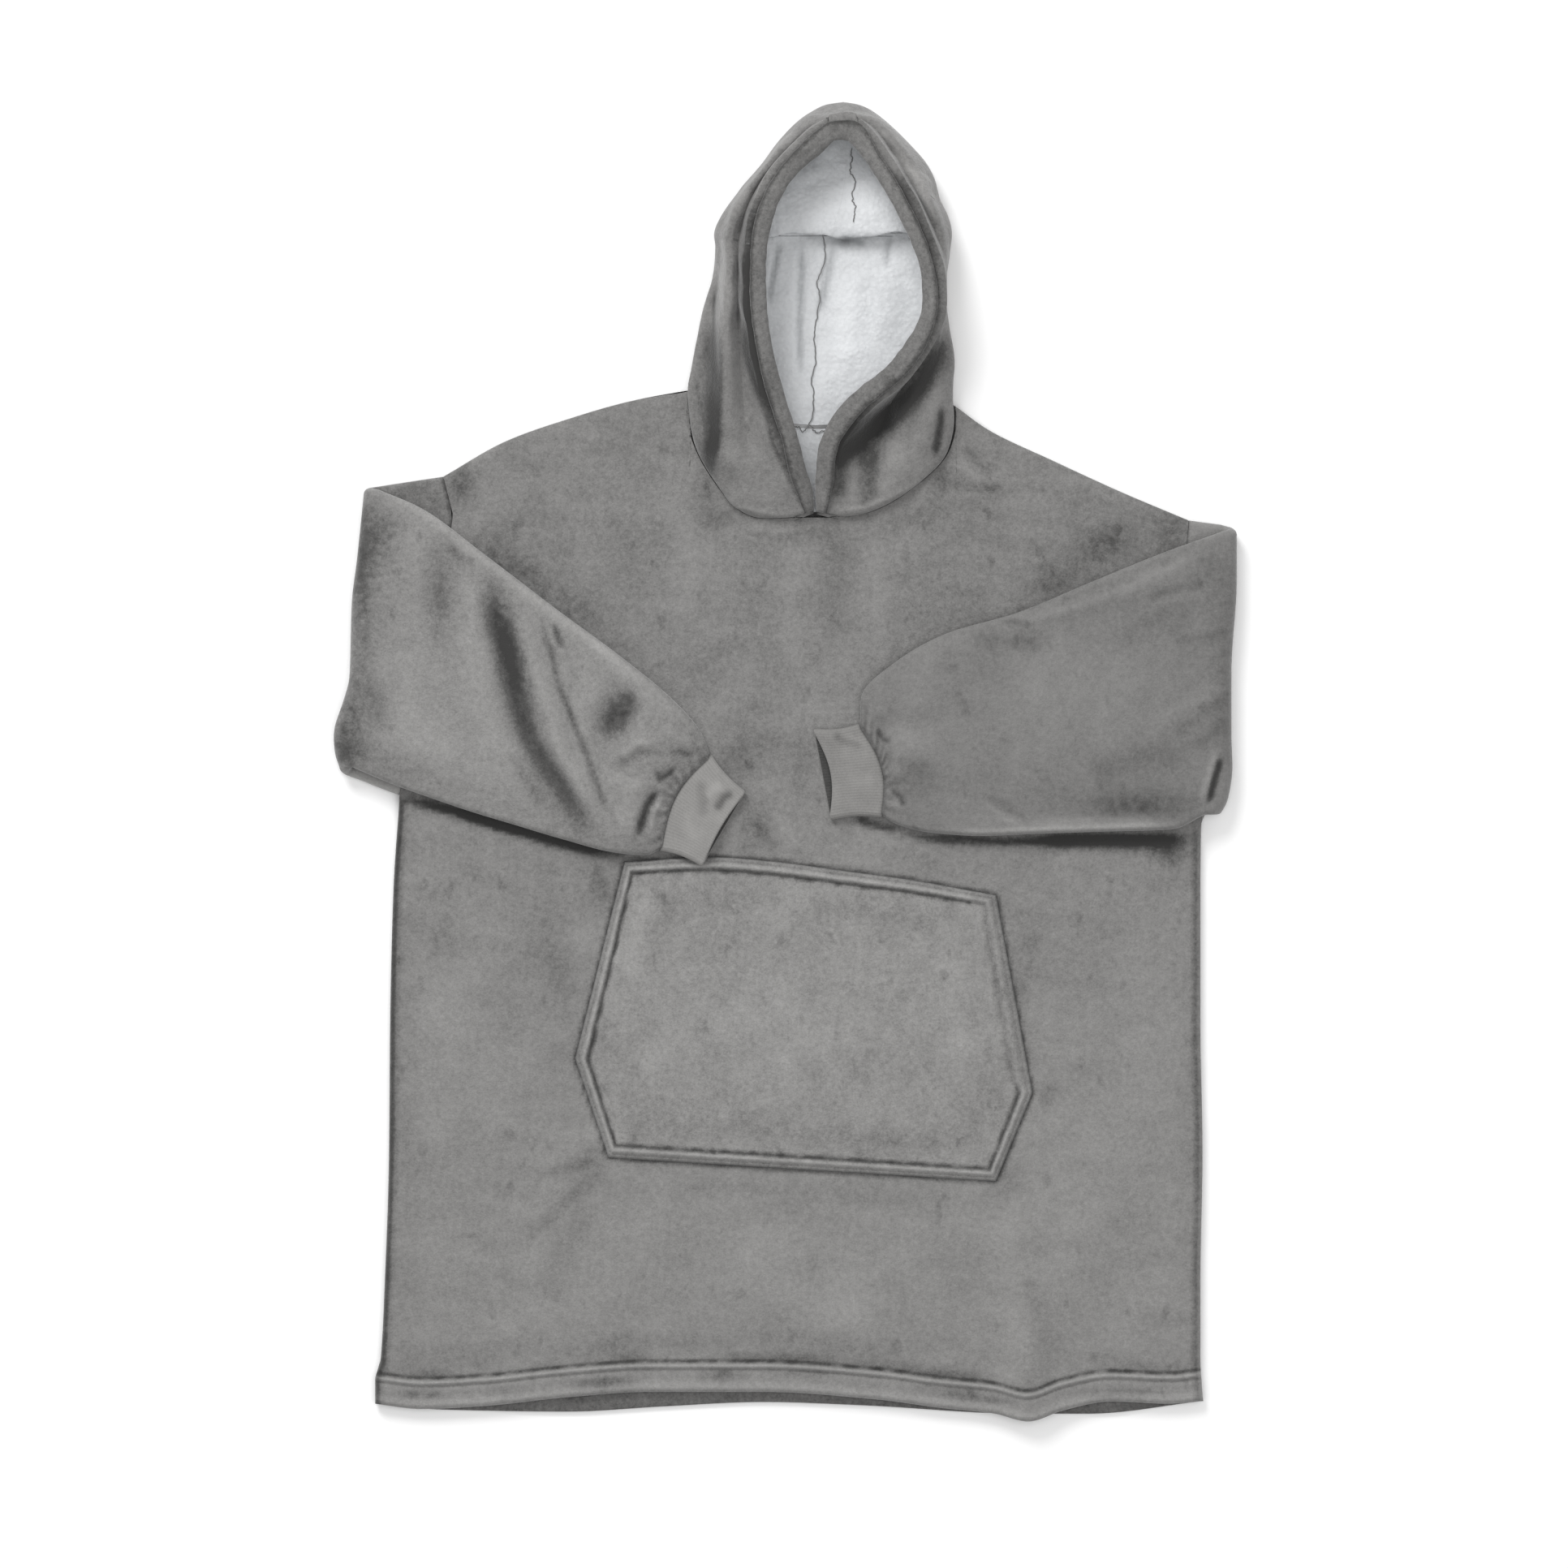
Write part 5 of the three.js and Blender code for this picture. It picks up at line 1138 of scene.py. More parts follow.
# %% [markdown]
# ## Pocket
#
# One six-sided piece, turned under all round. The two slanted sides are the hand openings: they
# are hemmed but not sewn down, so a dark line of painted shade runs under them. Top and bottom are
# sewn to the front with two rows of stitches.

# %% Outline of the pocket
def pocket_at(a, b):
    """The pocket's point at share a from right to left and share b from bottom to top."""
    low = b < POCKET_ELBOW
    share = np.where(low, b / POCKET_ELBOW, (b - POCKET_ELBOW) / (1 - POCKET_ELBOW))[..., None]

    def edge(side):
        bottom, elbow, top = POCKET[side]
        return np.where(low[..., None], lerp(bottom, elbow, share), lerp(elbow, top, share))

    p = lerp(edge("right"), edge("left"), a[..., None])
    corner = lerp(POCKET["right"][2], POCKET["left"][2], a[..., None])
    p[..., 1] += b * b * (POCKET_TOP(corner[..., 0]) - corner[..., 1])
    return p


print("middle of the pocket", pocket_at(np.array(0.5), np.array(0.5)).round(1), "mm")

# %% Folds of the pocket
POCKET_FOLDS = [
    ([(800, 1090), (790, 1150), (770, 1210)], 14, 1.2, 0.2),
    ([(830, 1090), (815, 1150), (800, 1200)], 10, -0.8, -0.15),
    ([(1010, 1110), (1006, 1230), (1000, 1380)], 12, -0.5, -0.12),
    ([(880, 1240), (960, 1290), (1050, 1300)], 30, 0.8, 0.1),
    ([(1160, 1150), (1180, 1250), (1190, 1340)], 14, 0.8, 0.15),
]
POCKET_PATCHES = [
    ((860, 1110), (50, 12), 0, -0.2), ((1080, 1125), (70, 10), -6, -0.25),
    ((740, 1270), (14, 30), 10, -0.15), ((900, 1390), (90, 12), -2, -0.2),
    ((1120, 1405), (60, 12), -2, -0.25), ((1020, 1250), (60, 40), 0, 0.12),
    ((1215, 1350), (16, 26), 0, -0.2), ((830, 1260), (30, 50), 0, 0.1),
]
print("pocket folds", len(POCKET_FOLDS))

# %% Grid of the pocket
width, height = 400.0, 270.0
near_edge = np.array([0, 0.8, 1.8, 3, 4.2, 5.2, 6.2, 7.2, 8.4, 9.6, 11, 12.6, 15, 18])
flat_across, flat_up = np.linspace(0.055, 0.945, 120), np.linspace(0.078, 0.922, 84)
across = np.concatenate([near_edge / width, flat_across, 1 - near_edge[::-1] / width])
up = np.concatenate([near_edge / height, flat_up, 1 - near_edge[::-1] / height])
a, b = np.meshgrid(across, up)
side = np.minimum(a, 1 - a)
from_side, from_end = side * width, np.minimum(b, 1 - b) * height
nearest = np.minimum(from_side, from_end)
print("pocket grid", a.shape)

# %% [markdown]
# ## The wide hem of one hand opening
#
# The left hand opening has a wider hem than the other edges. The grid's lines there move inwards
# with it, and the move fades out across the pocket, so that no line passes its neighbour.

# %% The wide hem
HEM_EDGE, HEM_FADES = 18, 110
HEM_WIDER = 0.45
slanted = smoothstep(b, POCKET_ELBOW - 0.02, POCKET_ELBOW + 0.05)
widened = np.where(a < 0.5, 0, HEM_WIDER * slanted)
fades = 1 - smoothstep(from_side, HEM_EDGE, HEM_FADES)
pushed = widened * np.minimum(from_side, HEM_EDGE) * fades
points = pocket_at(np.where(a < 0.5, side, 1 - side - pushed / width), b)
wide_hem = smoothstep(widened, 0, HEM_WIDER) * (from_side < HEM_EDGE + 0.1)
print("moved by up to", pushed.max().round(1), "mm")

# %% Pocket
POCKET_HEM = 6.7
x, y = points[..., 0], points[..., 1]
soft = (1 - np.clip(nearest / 3, 0, 1)) ** 2
creased, nap_and_shade = brushed_and_shaded(x, y, POCKET_FOLDS, POCKET_PATCHES)
inner = smoothstep(nearest, 12, 40)
swelling = (creased + 0.9 + 0.7 * swell(x, y, 70, 41)) * inner
base = FRONT_TOP + SEAM / 2 + REST
z = base + POCKET_CLOTH * (1 - 0.5 * soft) + (1 - soft) * hem_relief(nearest, POCKET_HEM, 1.0)
z = z + np.maximum(swelling, -1)
rough = 1 + 0.22 * swell(x, y, 18, 43)
wavering = POCKET_HEM + STITCH_GAP + 1.5 * (rough - 1)
# Painted shade in the grooves of the two stitch rows and along the turned edge, and a painted highlight
# on the ridge between the rows.
inner_stitch_shade = mark(nearest, wavering, 1.9) * lerp(1.15, 0.35, wide_hem)
outer_stitch_shade = mark(nearest, POCKET_HEM - STITCH_GAP, 1.3) * 0.4
nap_and_shade = nap_and_shade - (inner_stitch_shade * rough + outer_stitch_shade) * (1 - soft) - 0.35 * soft
nap_and_shade = nap_and_shade + 0.3 * mark(nearest, POCKET_HEM, 2.4) * rough * (1 - wide_hem)
nap_and_shade = nap_and_shade + 0.06 * swell(x, y / 2, 24, 42)

# %% Pocket's edge, turned down to the front
EDGE_OUT = 1.4
points = np.concatenate([points, z[..., None]], -1)
skirted = np.pad(points, ((1, 1), (1, 1), (0, 0)), mode="edge")
for rim, first, second in ((0, 1, 2), (-1, -2, -3)):
    skirted[rim] += EDGE_OUT * unit(skirted[first] - skirted[second])
    skirted[:, rim] += EDGE_OUT * unit(skirted[:, first] - skirted[:, second])
skirted[[0, -1], :, 2] = base
skirted[:, [0, -1], 2] = base
# The skirt is painted dark: painted shade where the pocket's edge turns down to the front.
nap_and_shade = np.pad(nap_and_shade, 1, constant_values=-1.4)
pocket = make_piece("pocket_panel", skirted, BELOW, nap_and_shade)
POCKET_CUT, area = (0.446, 0.32), grid_area(skirted)
finish_piece(pocket, PLUSH_POCKET, ["pocket"], POCKET_CUT, area)

# %% [markdown]
# ## Sleeves
#
# A sleeve is a tube laid flat: two layers with a rounded edge on each side. It leaves the armhole,
# turns back on itself at the fold and lies across the chest. Its place is known from two numbers:
# u runs along it, from 0 at the armhole to 1 at the fold, 2 past the turn and 3 at the cuff, and w
# runs across it, from its low edge to its top edge. A ring of points round the tube at each u
# gives the cloth, and the folds lift both layers together.

# %% Middle of the sleeve
def sleeve_middle(side, u, w):
    out = OUTWARD[side]
    under_top, under_low = UNDER[side]
    over = OVER[side]
    fold_x = through(*FOLD[side].T)

    def inset(low, top):
        edge = np.minimum(EDGE_RADIUS / np.linalg.norm(top - low, axis=-1, keepdims=True), 0.4)
        return lerp(edge, 1 - edge, (w[..., None] + 1) / 2)[..., 0]

    def at_fold(low_y, top_y):
        low, top = np.array([fold_x(low_y), low_y]), np.array([fold_x(top_y), top_y])
        y = lerp(low_y, top_y, inset(low, top))
        return np.stack([fold_x(y), y], -1)

    start, end = armhole(side, 0.0), armhole(side, 1.0)
    sewn = armhole(side, inset(start, end)) + [out * SEAM, 0]
    near = at_fold(under_low, under_top)
    far = at_fold(over[0, 4], over[0, 2])
    first = np.dstack([lerp(sewn, near, np.clip(u, 0, 1)[..., None]), np.full(u.shape, SEAM_HEIGHT)])
    angle = np.clip(u - 1, 0, 1) * np.pi
    bulge = np.stack([out * FOLD_RADIUS * np.sin(angle), 0 * angle], -1)
    turning = lerp(near, far, np.clip(u - 1, 0, 1)[..., None]) + bulge
    second = np.dstack([turning, SEAM_HEIGHT + FOLD_RADIUS * (1 - np.cos(angle))])
    t = np.clip(u - 2, 0, 1)
    top_x, top_y, low_x, low_y = (through(over[:, 0], over[:, k])(t) for k in (1, 2, 3, 4))
    low, top = np.stack([low_x, low_y], -1), np.stack([top_x, top_y], -1)
    share = inset(low, top)
    bend = far[..., 0] - lerp(over[0, 3], over[0, 1], share)
    p = lerp(low, top, share[..., None])
    p[..., 0] += bend * (1 - smoothstep(t, 0, 0.3))
    settled = lerp(SEAM_HEIGHT + 2 * FOLD_RADIUS, OVER_HEIGHT, smoothstep(t, 0, 0.3))
    third = np.dstack([p, lerp(settled, FRONT_TOP + REST + CUFF_HALF + 0.6, smoothstep(t, 0.84, 1))])
    return np.where((u <= 1)[..., None], first, np.where((u <= 2)[..., None], second, third))


def sleeve_normal(side, u, w):
    u0, u1 = np.maximum(u - 0.01, 0), np.minimum(u + 0.01, 3)
    w0, w1 = np.maximum(w - 0.02, -1), np.minimum(w + 0.02, 1)
    along = sleeve_middle(side, u1, w) - sleeve_middle(side, u0, w)
    across = sleeve_middle(side, u, w1) - sleeve_middle(side, u, w0)
    return unit(np.cross(along, across)) * OUTWARD[side]


middle_top = sleeve_middle("right", np.full((1, 1), 2.5), np.zeros((1, 1)))[0, 0]
print("middle of the right sleeve's upper part", middle_top.round(1), "mm")

# %% [markdown]
# ## Folds of the sleeves
#
# The right sleeve has one long dark valley from its top edge to the cuff, a thin fold beside it
# and a knot of puckers where the wide sleeve is gathered into the narrow cuff. The left sleeve is
# smoother, with short creases that fan out from its fold. The tables paint shade into the valleys
# and highlights onto the ridges and along some edges.

# %% Fold tables of the sleeves
SLEEVE_FOLDS = {
    "right": [
        ([(604, 700), (611, 759), (628, 813), (640, 868), (655, 912), (674, 945), (694, 968),
         (714, 1006), (736, 1044)], 10.5, -7.0, -1.15, 1.15),
        # A painted highlight along the top edge.
        ([(448, 622), (505, 620), (560, 655), (600, 690), (665, 740), (720, 780), (790, 840),
         (830, 880)], 7, 0.8, 0.45),
        ([(575, 700), (590, 780), (600, 850), (620, 920), (650, 985)], 22, 3.5, 0.25),
        ([(640, 735), (652, 790), (668, 850), (690, 920), (715, 975), (745, 1020)], 9, 4.5, 0.35),
        ([(665, 750), (678, 795), (692, 850), (712, 900), (728, 940), (744, 985),
         (768, 1022)], 3.0, -2.8, -0.6, 1.1),
        ([(683, 768), (688, 785), (694, 802)], 3.5, -2.2, -0.8),
        ([(676, 765), (682, 790), (700, 808)], 4, 1.2, 0.2),
        ([(782, 850), (765, 880), (745, 915)], 12, -4.0, -0.5),
        ([(735, 830), (722, 880), (724, 920)], 12, 3.0, 0.2),
        ([(800, 845), (790, 890), (776, 925)], 9, 2.5, 0.2),
        ([(750, 948), (775, 940), (793, 928), (812, 931), (819, 944)], 4.5, -2.4, -0.3),
        ([(760, 935), (785, 918), (810, 915)], 5, 2.0, 0.2),
        ([(809, 948), (816, 962), (832, 955), (838, 946)], 3.5, -2.4, -0.8),
        ([(815, 975), (800, 992), (792, 1015), (788, 1034)], 4.2, -4.0, -1.5),
        ([(826, 985), (812, 1004), (806, 1030)], 4.5, 3.0, 0.4),
        ([(752, 955), (775, 972), (800, 968)], 8, 2.5, 0.25),
        ([(835, 925), (850, 932), (862, 928)], 3.5, -1.8, -0.6),
        ([(820, 900), (840, 912), (858, 912)], 5, 1.6, 0.2),
        ([(483, 632), (486, 655), (490, 672)], 12, -1.5, -0.1),
        ([(537, 665), (545, 720), (540, 770)], 15, -2.0, -0.25),
        ([(515, 640), (520, 700), (512, 780)], 14, 1.5, 0.1),
        ([(553, 670), (570, 690), (590, 694)], 5, -1.2, -0.45),
        ([(470, 860), (520, 900), (560, 960)], 20, 2.0, 0.12),
        ([(625, 925), (650, 960), (675, 1000)], 7, -1.2, -0.4),
        ([(455, 835), (470, 870), (470, 905)], 10, -1.2, -0.35),
    ],
    "left": [
        ([(1405, 743), (1440, 728), (1492, 717)], 5, -1.4, -0.3, 1.2),
        ([(1410, 752), (1450, 738), (1495, 728)], 5, 1.0, 0.15),
        ([(1447, 792), (1480, 786), (1513, 779)], 5.5, -1.4, -0.25, 1.2),
        ([(1440, 910), (1475, 885), (1512, 853)], 6, -2.0, -0.3, 1.2),
        ([(1420, 900), (1455, 872), (1505, 838)], 7, 1.6, 0.18),
        ([(1460, 925), (1490, 905), (1512, 885)], 5.5, -1.6, -0.25),
        ([(1233, 766), (1252, 768), (1275, 772)], 3.5, -1.2, -0.4),
        ([(1165, 800), (1172, 815), (1176, 835)], 5, -1.4, -0.2),
        ([(1176, 850), (1188, 870), (1192, 888)], 4, -1.0, -0.3),
        ([(1074, 898), (1082, 912), (1096, 916)], 3, -1.8, -0.7),
        ([(1088, 973), (1104, 981), (1114, 995)], 3.5, -2.0, -0.7),
        ([(1090, 985), (1102, 992), (1106, 1004)], 4, 1.4, 0.2),
        ([(1213, 980), (1240, 996), (1272, 1018)], 4.5, -1.2, -0.3),
        ([(1208, 990), (1236, 1008), (1262, 1022)], 4, 1.0, 0.25),
        ([(1085, 940), (1120, 920), (1170, 915)], 16, 2.2, 0.15),
        ([(1110, 890), (1150, 850), (1210, 820)], 16, 1.8, 0.1),
        ([(1240, 850), (1330, 840), (1420, 850)], 34, 2.2, 0.12),
        ([(1330, 960), (1400, 935), (1470, 930)], 16, -1.2, -0.3),
        ([(1060, 960), (1085, 955), (1120, 958)], 7, 1.6, 0.1),
        ([(1100, 935), (1120, 945), (1150, 948)], 6, -1.0, -0.25),
        # Painted highlights along the low edge.
        ([(1230, 1022), (1320, 1018), (1450, 1014)], 5, 0.8, 0.3),
        ([(1150, 1020), (1208, 1024), (1278, 1022), (1357, 1020), (1460, 1016)], 3.2, 0.0, 0.75),
        ([(1503, 930), (1494, 962), (1486, 992)], 3.2, -2.5, -1.8),
        ([(1497, 920), (1487, 955), (1478, 988)], 3.5, 1.5, 0.5),
        # A painted highlight along the top edge.
        ([(1500, 668), (1440, 700), (1380, 728), (1310, 752), (1240, 770)], 6, 0.6, 0.35),
    ],
}
SLEEVE_PATCHES = {
    "right": [
        ((444, 700), (12, 80), 3, -0.75), ((462, 668), (22, 34), 0, -0.55),
        ((430, 880), (16, 46), 0, -0.55), ((428, 925), (20, 18), 0, -0.6),
        ((632, 800), (54, 14), -76, -0.85), ((764, 877), (24, 15), 48, -0.75),
        ((452, 962), (26, 6), -25, 0.6), ((545, 740), (14, 46), 0, -0.25),
        ((500, 945), (50, 14), -14, -0.25), ((520, 860), (40, 60), 0, 0.12),
        ((560, 940), (60, 26), -20, 0.22), ((700, 1030), (50, 14), -14, 0.15),
        ((630, 690), (40, 10), -40, 0.25), ((740, 790), (50, 8), -38, 0.2),
        ((690, 800), (14, 20), -20, -0.15), ((820, 870), (30, 10), -40, 0.1),
        ((770, 1000), (14, 20), 0, 0.2), ((500, 780), (20, 46), 0, 0.1),
    ],
    "left": [
        ((1397, 992), (46, 12), 0, -0.7), ((1350, 740), (60, 14), 22, -0.3),
        ((1490, 700), (24, 18), 0, -0.25), ((1500, 800), (12, 80), 0, -0.3),
        ((1262, 790), (14, 10), 0, -0.45), ((1220, 790), (14, 10), 0, -0.3),
        ((1130, 880), (20, 14), 0, -0.1), ((1120, 960), (24, 18), 0, -0.35),
        ((1250, 960), (60, 22), 0, -0.15), ((1340, 880), (70, 50), 0, 0.15),
        ((1180, 830), (30, 16), 20, -0.2), ((1100, 900), (16, 10), 0, 0.1),
        ((1300, 1012), (90, 6), 0, 0.35), ((1500, 1000), (12, 30), 0, 0.2),
        ((1440, 760), (50, 14), 20, -0.25),
    ],
}
print("sleeve folds", {side: len(rows) for side, rows in SLEEVE_FOLDS.items()})

# %% A laid tube
def laid_ring(middle_at, normal_at, distance, above, below, edge):
    """Points round a laid tube at every station: top layer, edge, bottom layer, other edge."""
    def layer(w, side):
        return middle_at(w) + normal_at(w) * side * distance

    def rounded_edge(sign, angles):
        out = unit(middle_at(np.array([sign])) - middle_at(np.array([0.9 * sign])))
        up = normal_at(np.array([sign]))
        turn = np.radians(angles)[None, :, None]
        return middle_at(np.array([sign])) + distance * (up * np.sin(turn) + out * np.cos(turn))

    top, low = np.linspace(-1, 1, above), np.linspace(1, -1, below)
    angles = np.linspace(90, -90, edge + 2)[1:-1]
    ring = [layer(top, 1), rounded_edge(1.0, angles), layer(low, -1), rounded_edge(-1.0, -angles)]
    w = [top, np.ones(edge), low, -np.ones(edge)]
    up = [np.ones(above), np.sin(np.radians(angles)), -np.ones(below), np.sin(np.radians(-angles))]
    return np.concatenate(ring, axis=1), np.concatenate(w), np.concatenate(up)


# %% Gathers at the cuff
CREASE_LEAVES = {"right": 5, "left": 4}


def gathers(side, w, t):
    """Large and small puckers from 0 to 1, and how much each of them counts along the sleeve."""
    large = 0.5 - 0.5 * np.cos(CREASE_LEAVES[side] * np.pi * (w + 1) + 1.2 * np.sin(3 * w))
    small = 0.5 - 0.5 * np.cos(11 * np.pi * (w + 1) + 2 * np.sin(5 * w))
    large_counts = smoothstep(t, 0.82, 0.95) * (1 - smoothstep(t, 0.965, 1.0))
    small_counts = smoothstep(t, 0.9, 0.975) * (1 - smoothstep(t, 0.985, 1.0))
    return large, small, large_counts, small_counts


def sleeve_lift(side, w, t, up, height):
    """Millimetres that air, folds and gathers lift each point of the part over the chest."""
    large, small, large_counts, small_counts = gathers(side, w, t)
    rising = smoothstep(t, 0.02, 0.2)
    settled = rising * (1 - smoothstep(t, 0.9, 1.0))
    across = 1 - np.abs(w) ** 5
    air = SLEEVE_AIR * rising * (1 - smoothstep(t, 0.82, 0.98))
    lifted = np.maximum(air + np.maximum(height * settled, -air), 0) * lerp(0.35, 1, across)
    lifted = lifted + (2.4 * large * large_counts + 1.1 * small * small_counts) * across
    return lifted * np.where(up > 0, 1, 0.55)


print("gathers count from", gathers("right", 0, 0.9)[2].round(2), "at 0.9 of the way to the cuff")

# %% Brushing and painted shade of the sleeves
UNDER_SHADE = {"right": -0.45, "left": 0.35}
LOW_SHADE = {"right": 0.75, "left": 0.35}


def sleeve_shade(side, w, t, up, y, nap_and_shade):
    """The pile's brushing with painted shade and highlights: folds over the chest, one tone below,
    painted shade at seams and puckers.
    """
    large, small, large_counts, small_counts = gathers(side, w, t)
    past_fold = smoothstep(STATIONS, 1.3, 1.5)
    under = lerp(LOW_SHADE[side], UNDER_SHADE[side], smoothstep(y, -30, 40))
    shade = nap_and_shade * past_fold * np.where(STATIONS > 2, up, 1) + under * (1 - past_fold)
    # Painted shade along the seams at the cuff and at the armhole.
    shade = shade - 0.7 * (mark(STATIONS, 3, 0.012) + mark(STATIONS, 0, 0.03))
    return shade - (0.35 * small_counts * (1 - small) + 0.12 * large_counts * (1 - large)) * up


# %% Sleeve tubes
UNDERSIDE, UPSIDE, EDGE = 26, 118, 9
to_fold, round_fold = np.linspace(0, 0.95, 16), np.linspace(1, 2, 26)
STATIONS = np.concatenate([to_fold, round_fold, np.linspace(2.012, 3, 128)])[:, None]
SEAM_BOW = 10.0
SLACK = 1.02
for side, finish_of in (("right", PLUSH_RIGHT), ("left", PLUSH_LEFT)):
    def middle_at(w, side=side):
        return sleeve_middle(side, *np.broadcast_arrays(STATIONS, w[None, :]))

    def normal_at(w, side=side):
        return sleeve_normal(side, *np.broadcast_arrays(STATIONS, w[None, :]))

    half = lerp(EDGE_RADIUS, CUFF_HALF + 0.4, smoothstep(STATIONS, 2.84, 3))[..., None]
    points, w, up = laid_ring(middle_at, normal_at, half, UNDERSIDE, UPSIDE, EDGE)
    x, y, w, t = points[..., 0], points[..., 1], w[None, :], STATIONS - 2
    over = STATIONS > 2
    up = np.where(over, -up, up)
    on_top = np.clip(up, 0, 1)
    height, nap_and_shade = brushed_and_shaded(x, y, SLEEVE_FOLDS[side], SLEEVE_PATCHES[side])
    points[..., 2] += sleeve_lift(side, w, t, up, height) * over
    uneven = (0.9 * swell(x, y, 80, 51) + 0.4 * swell(x, y, 30, 52)) * (1 - np.abs(w) ** 5)
    uneven = uneven * np.clip(STATIONS * 4, 0, 1) * (1 - smoothstep(t, 0.9, 1))
    points[..., 2] += np.where(up > 0, uneven, 0)
    points[..., 2] = np.maximum(points[..., 2], 0)
    cuff, seam = np.array(CUFFS[side], float), OVER[side][-1]
    towards_cuff = unit(cuff[0:2] + cuff[2:4] - seam[1:3] - seam[3:5])
    bowed = SEAM_BOW * np.cos(np.pi / 2 * w) * smoothstep(t, 0.86, 1) * on_top
    points[..., :2] -= bowed[..., None] * towards_cuff
    shade = sleeve_shade(side, w, t, on_top, y, nap_and_shade)
    name, behind = f"sleeve_{side}_plush", points.mean((0, 1))
    piece = make_piece(name, points, behind, shade, closed=True)
    rings = np.linalg.norm(np.diff(points, axis=1, append=points[:, :1]), axis=-1).sum(1)
    steps = np.linalg.norm(np.diff(points.mean(1), axis=0), axis=-1)
    cut = (float(rings.max() / 1000), SLACK * float(steps.sum() / 1000))
    area = grid_area(points, closed=True)
    print(f"{name} is cut {cut[0]:.3f} wide at most and {cut[1]:.3f} metres long")
    finish_piece(piece, finish_of, [f"sleeve_{side}"], cut, area)

# %% [markdown]
# ## Cuffs
#
# A cuff is a short tube of rib knit, doubled so that its mouth is a fold. The ribs run along it,
# about 2.6 mm apart. The cloth is smooth next to plush, so the ribs are lines in the finish, and
# the mesh has the mouth, which stands a little open, and the way the tube lies over the pocket.

# %% Folds of the cuffs
RIB_PITCH = 2.6
CUFF_TONE = {"right": -0.12, "left": -0.3}
CUFF_FOLDS = {
    "right": [
        ([(868, 985), (880, 975), (893, 968)], 6, 1.6, 0.25),
        ([(882, 1000), (893, 983), (905, 977)], 4, -1.5, -0.6),
        ([(845, 1000), (850, 1020), (855, 1040)], 6, 1.0, 0.1),
        ([(862, 960), (868, 985), (866, 1010)], 5, -0.8, -0.25),
    ],
    "left": [
        ([(1032, 905), (1055, 915), (1075, 912)], 5, 1.0, 0.15),
        ([(1025, 905), (1045, 915), (1065, 918)], 4, -0.6, -0.3),
        ([(1040, 960), (1065, 965), (1085, 960)], 8, 0.8, 0.1),
    ],
}
print("cuff folds", {side: len(rows) for side, rows in CUFF_FOLDS.items()})

# %% Cuffs
CUFF_ROWS, CUFF_TOP, CUFF_UNDER = 34, 72, 40
ALONG = np.linspace(0.004, 1, CUFF_ROWS)[:, None]
LIP = 1.0
DOUBLED = 2.05
for side in ("right", "left"):
    seam_top, seam_low = OVER[side][-1, 1:3], OVER[side][-1, 3:5]
    mouth = np.array(CUFFS[side], float)
    mouth_top, mouth_low, ride, opening = mouth[0:2], mouth[2:4], mouth[4], mouth[5]
    along = unit(mouth_low + mouth_top - seam_low - seam_top)

    def cuff_middle(w):
        low = lerp(seam_low, mouth_low, ALONG[..., None])
        across = lerp(seam_top, mouth_top, ALONG[..., None]) - low
        edge = CUFF_HALF / np.linalg.norm(across, axis=-1)
        waist = 1 - 0.06 * np.sin(np.pi * ALONG)
        share = 0.5 + 0.5 * w[None, :] * (1 - 2 * edge) * waist
        up = ride * smoothstep(ALONG, 0.1, 0.75) * smoothstep(-w[None, :], -0.6, 0.7)
        return np.dstack([low + across * share[..., None], FRONT_TOP + REST + CUFF_HALF + up])

    def cuff_normal(w):
        return np.broadcast_to([0.0, 0.0, 1.0], (CUFF_ROWS, len(w), 3))

    rings = []
    for distance in (CUFF_HALF, CUFF_GAP / 2):
        ring, w, up = laid_ring(cuff_middle, cuff_normal, distance, CUFF_TOP, CUFF_UNDER, EDGE)
        arch = np.sin(np.pi * np.clip(np.arange(len(w)) / (CUFF_TOP - 1), 0, 1))[None, :]
        back_off = -opening * smoothstep(ALONG, 0.7, 1) * arch
        bowed = -SEAM_BOW * (1 - smoothstep(ALONG, 0, 0.8)) * arch
        ring[..., :2] += (back_off + bowed)[..., None] * along
        height, nap_and_shade = brushed_and_shaded(ring[..., 0], ring[..., 1], CUFF_FOLDS[side])
        top = np.clip(up, 0, 1)[None, :] * smoothstep(ALONG, 0.02, 0.25)
        ring[..., 2] += height * top + 0.3 * swell(ring[..., 0], ring[..., 1], 22, 61) * top
        rings.append((ring, nap_and_shade * top))
    (outer, nap_and_shade_out), (inner, nap_and_shade_in) = rings
    lip = (outer[-1:] + inner[-1:]) / 2
    lip[..., :2] += along * LIP
    points = np.concatenate([outer, lip, inner[::-1]])
    halfway = points[CUFF_ROWS // 2]
    step_round = np.linalg.norm(np.diff(halfway, axis=0, append=halfway[:1]), axis=-1)
    turns = np.concatenate([[0], np.cumsum(step_round)[:-1]]) * 2 * np.pi / RIB_PITCH
    rib = {"rib": np.broadcast_to(turns[None, :], points.shape[:2])}
    # The inner layer is painted dark: painted shade inside the cuff's mouth.
    nap_and_shade = np.concatenate([nap_and_shade_out, nap_and_shade_out[-1:] + 0.1, np.full(nap_and_shade_in.shape, -1.3)])
    # Painted shade where the cuff is sewn to the sleeve.
    nap_and_shade[:CUFF_ROWS] += CUFF_TONE[side] - 0.6 * mark(ALONG, 0, 0.03)
    piece = make_piece(f"cuff_{side}_rib", points, BELOW, nap_and_shade, closed=True, extra=rib)
    deep = float(np.linalg.norm(mouth_top - seam_top) / 1000)
    cut, area = (float(step_round.sum() / 1000), DOUBLED * deep), grid_area(points, closed=True)
    finish_piece(piece, RIB, [f"cuff_{side}"], cut, area)

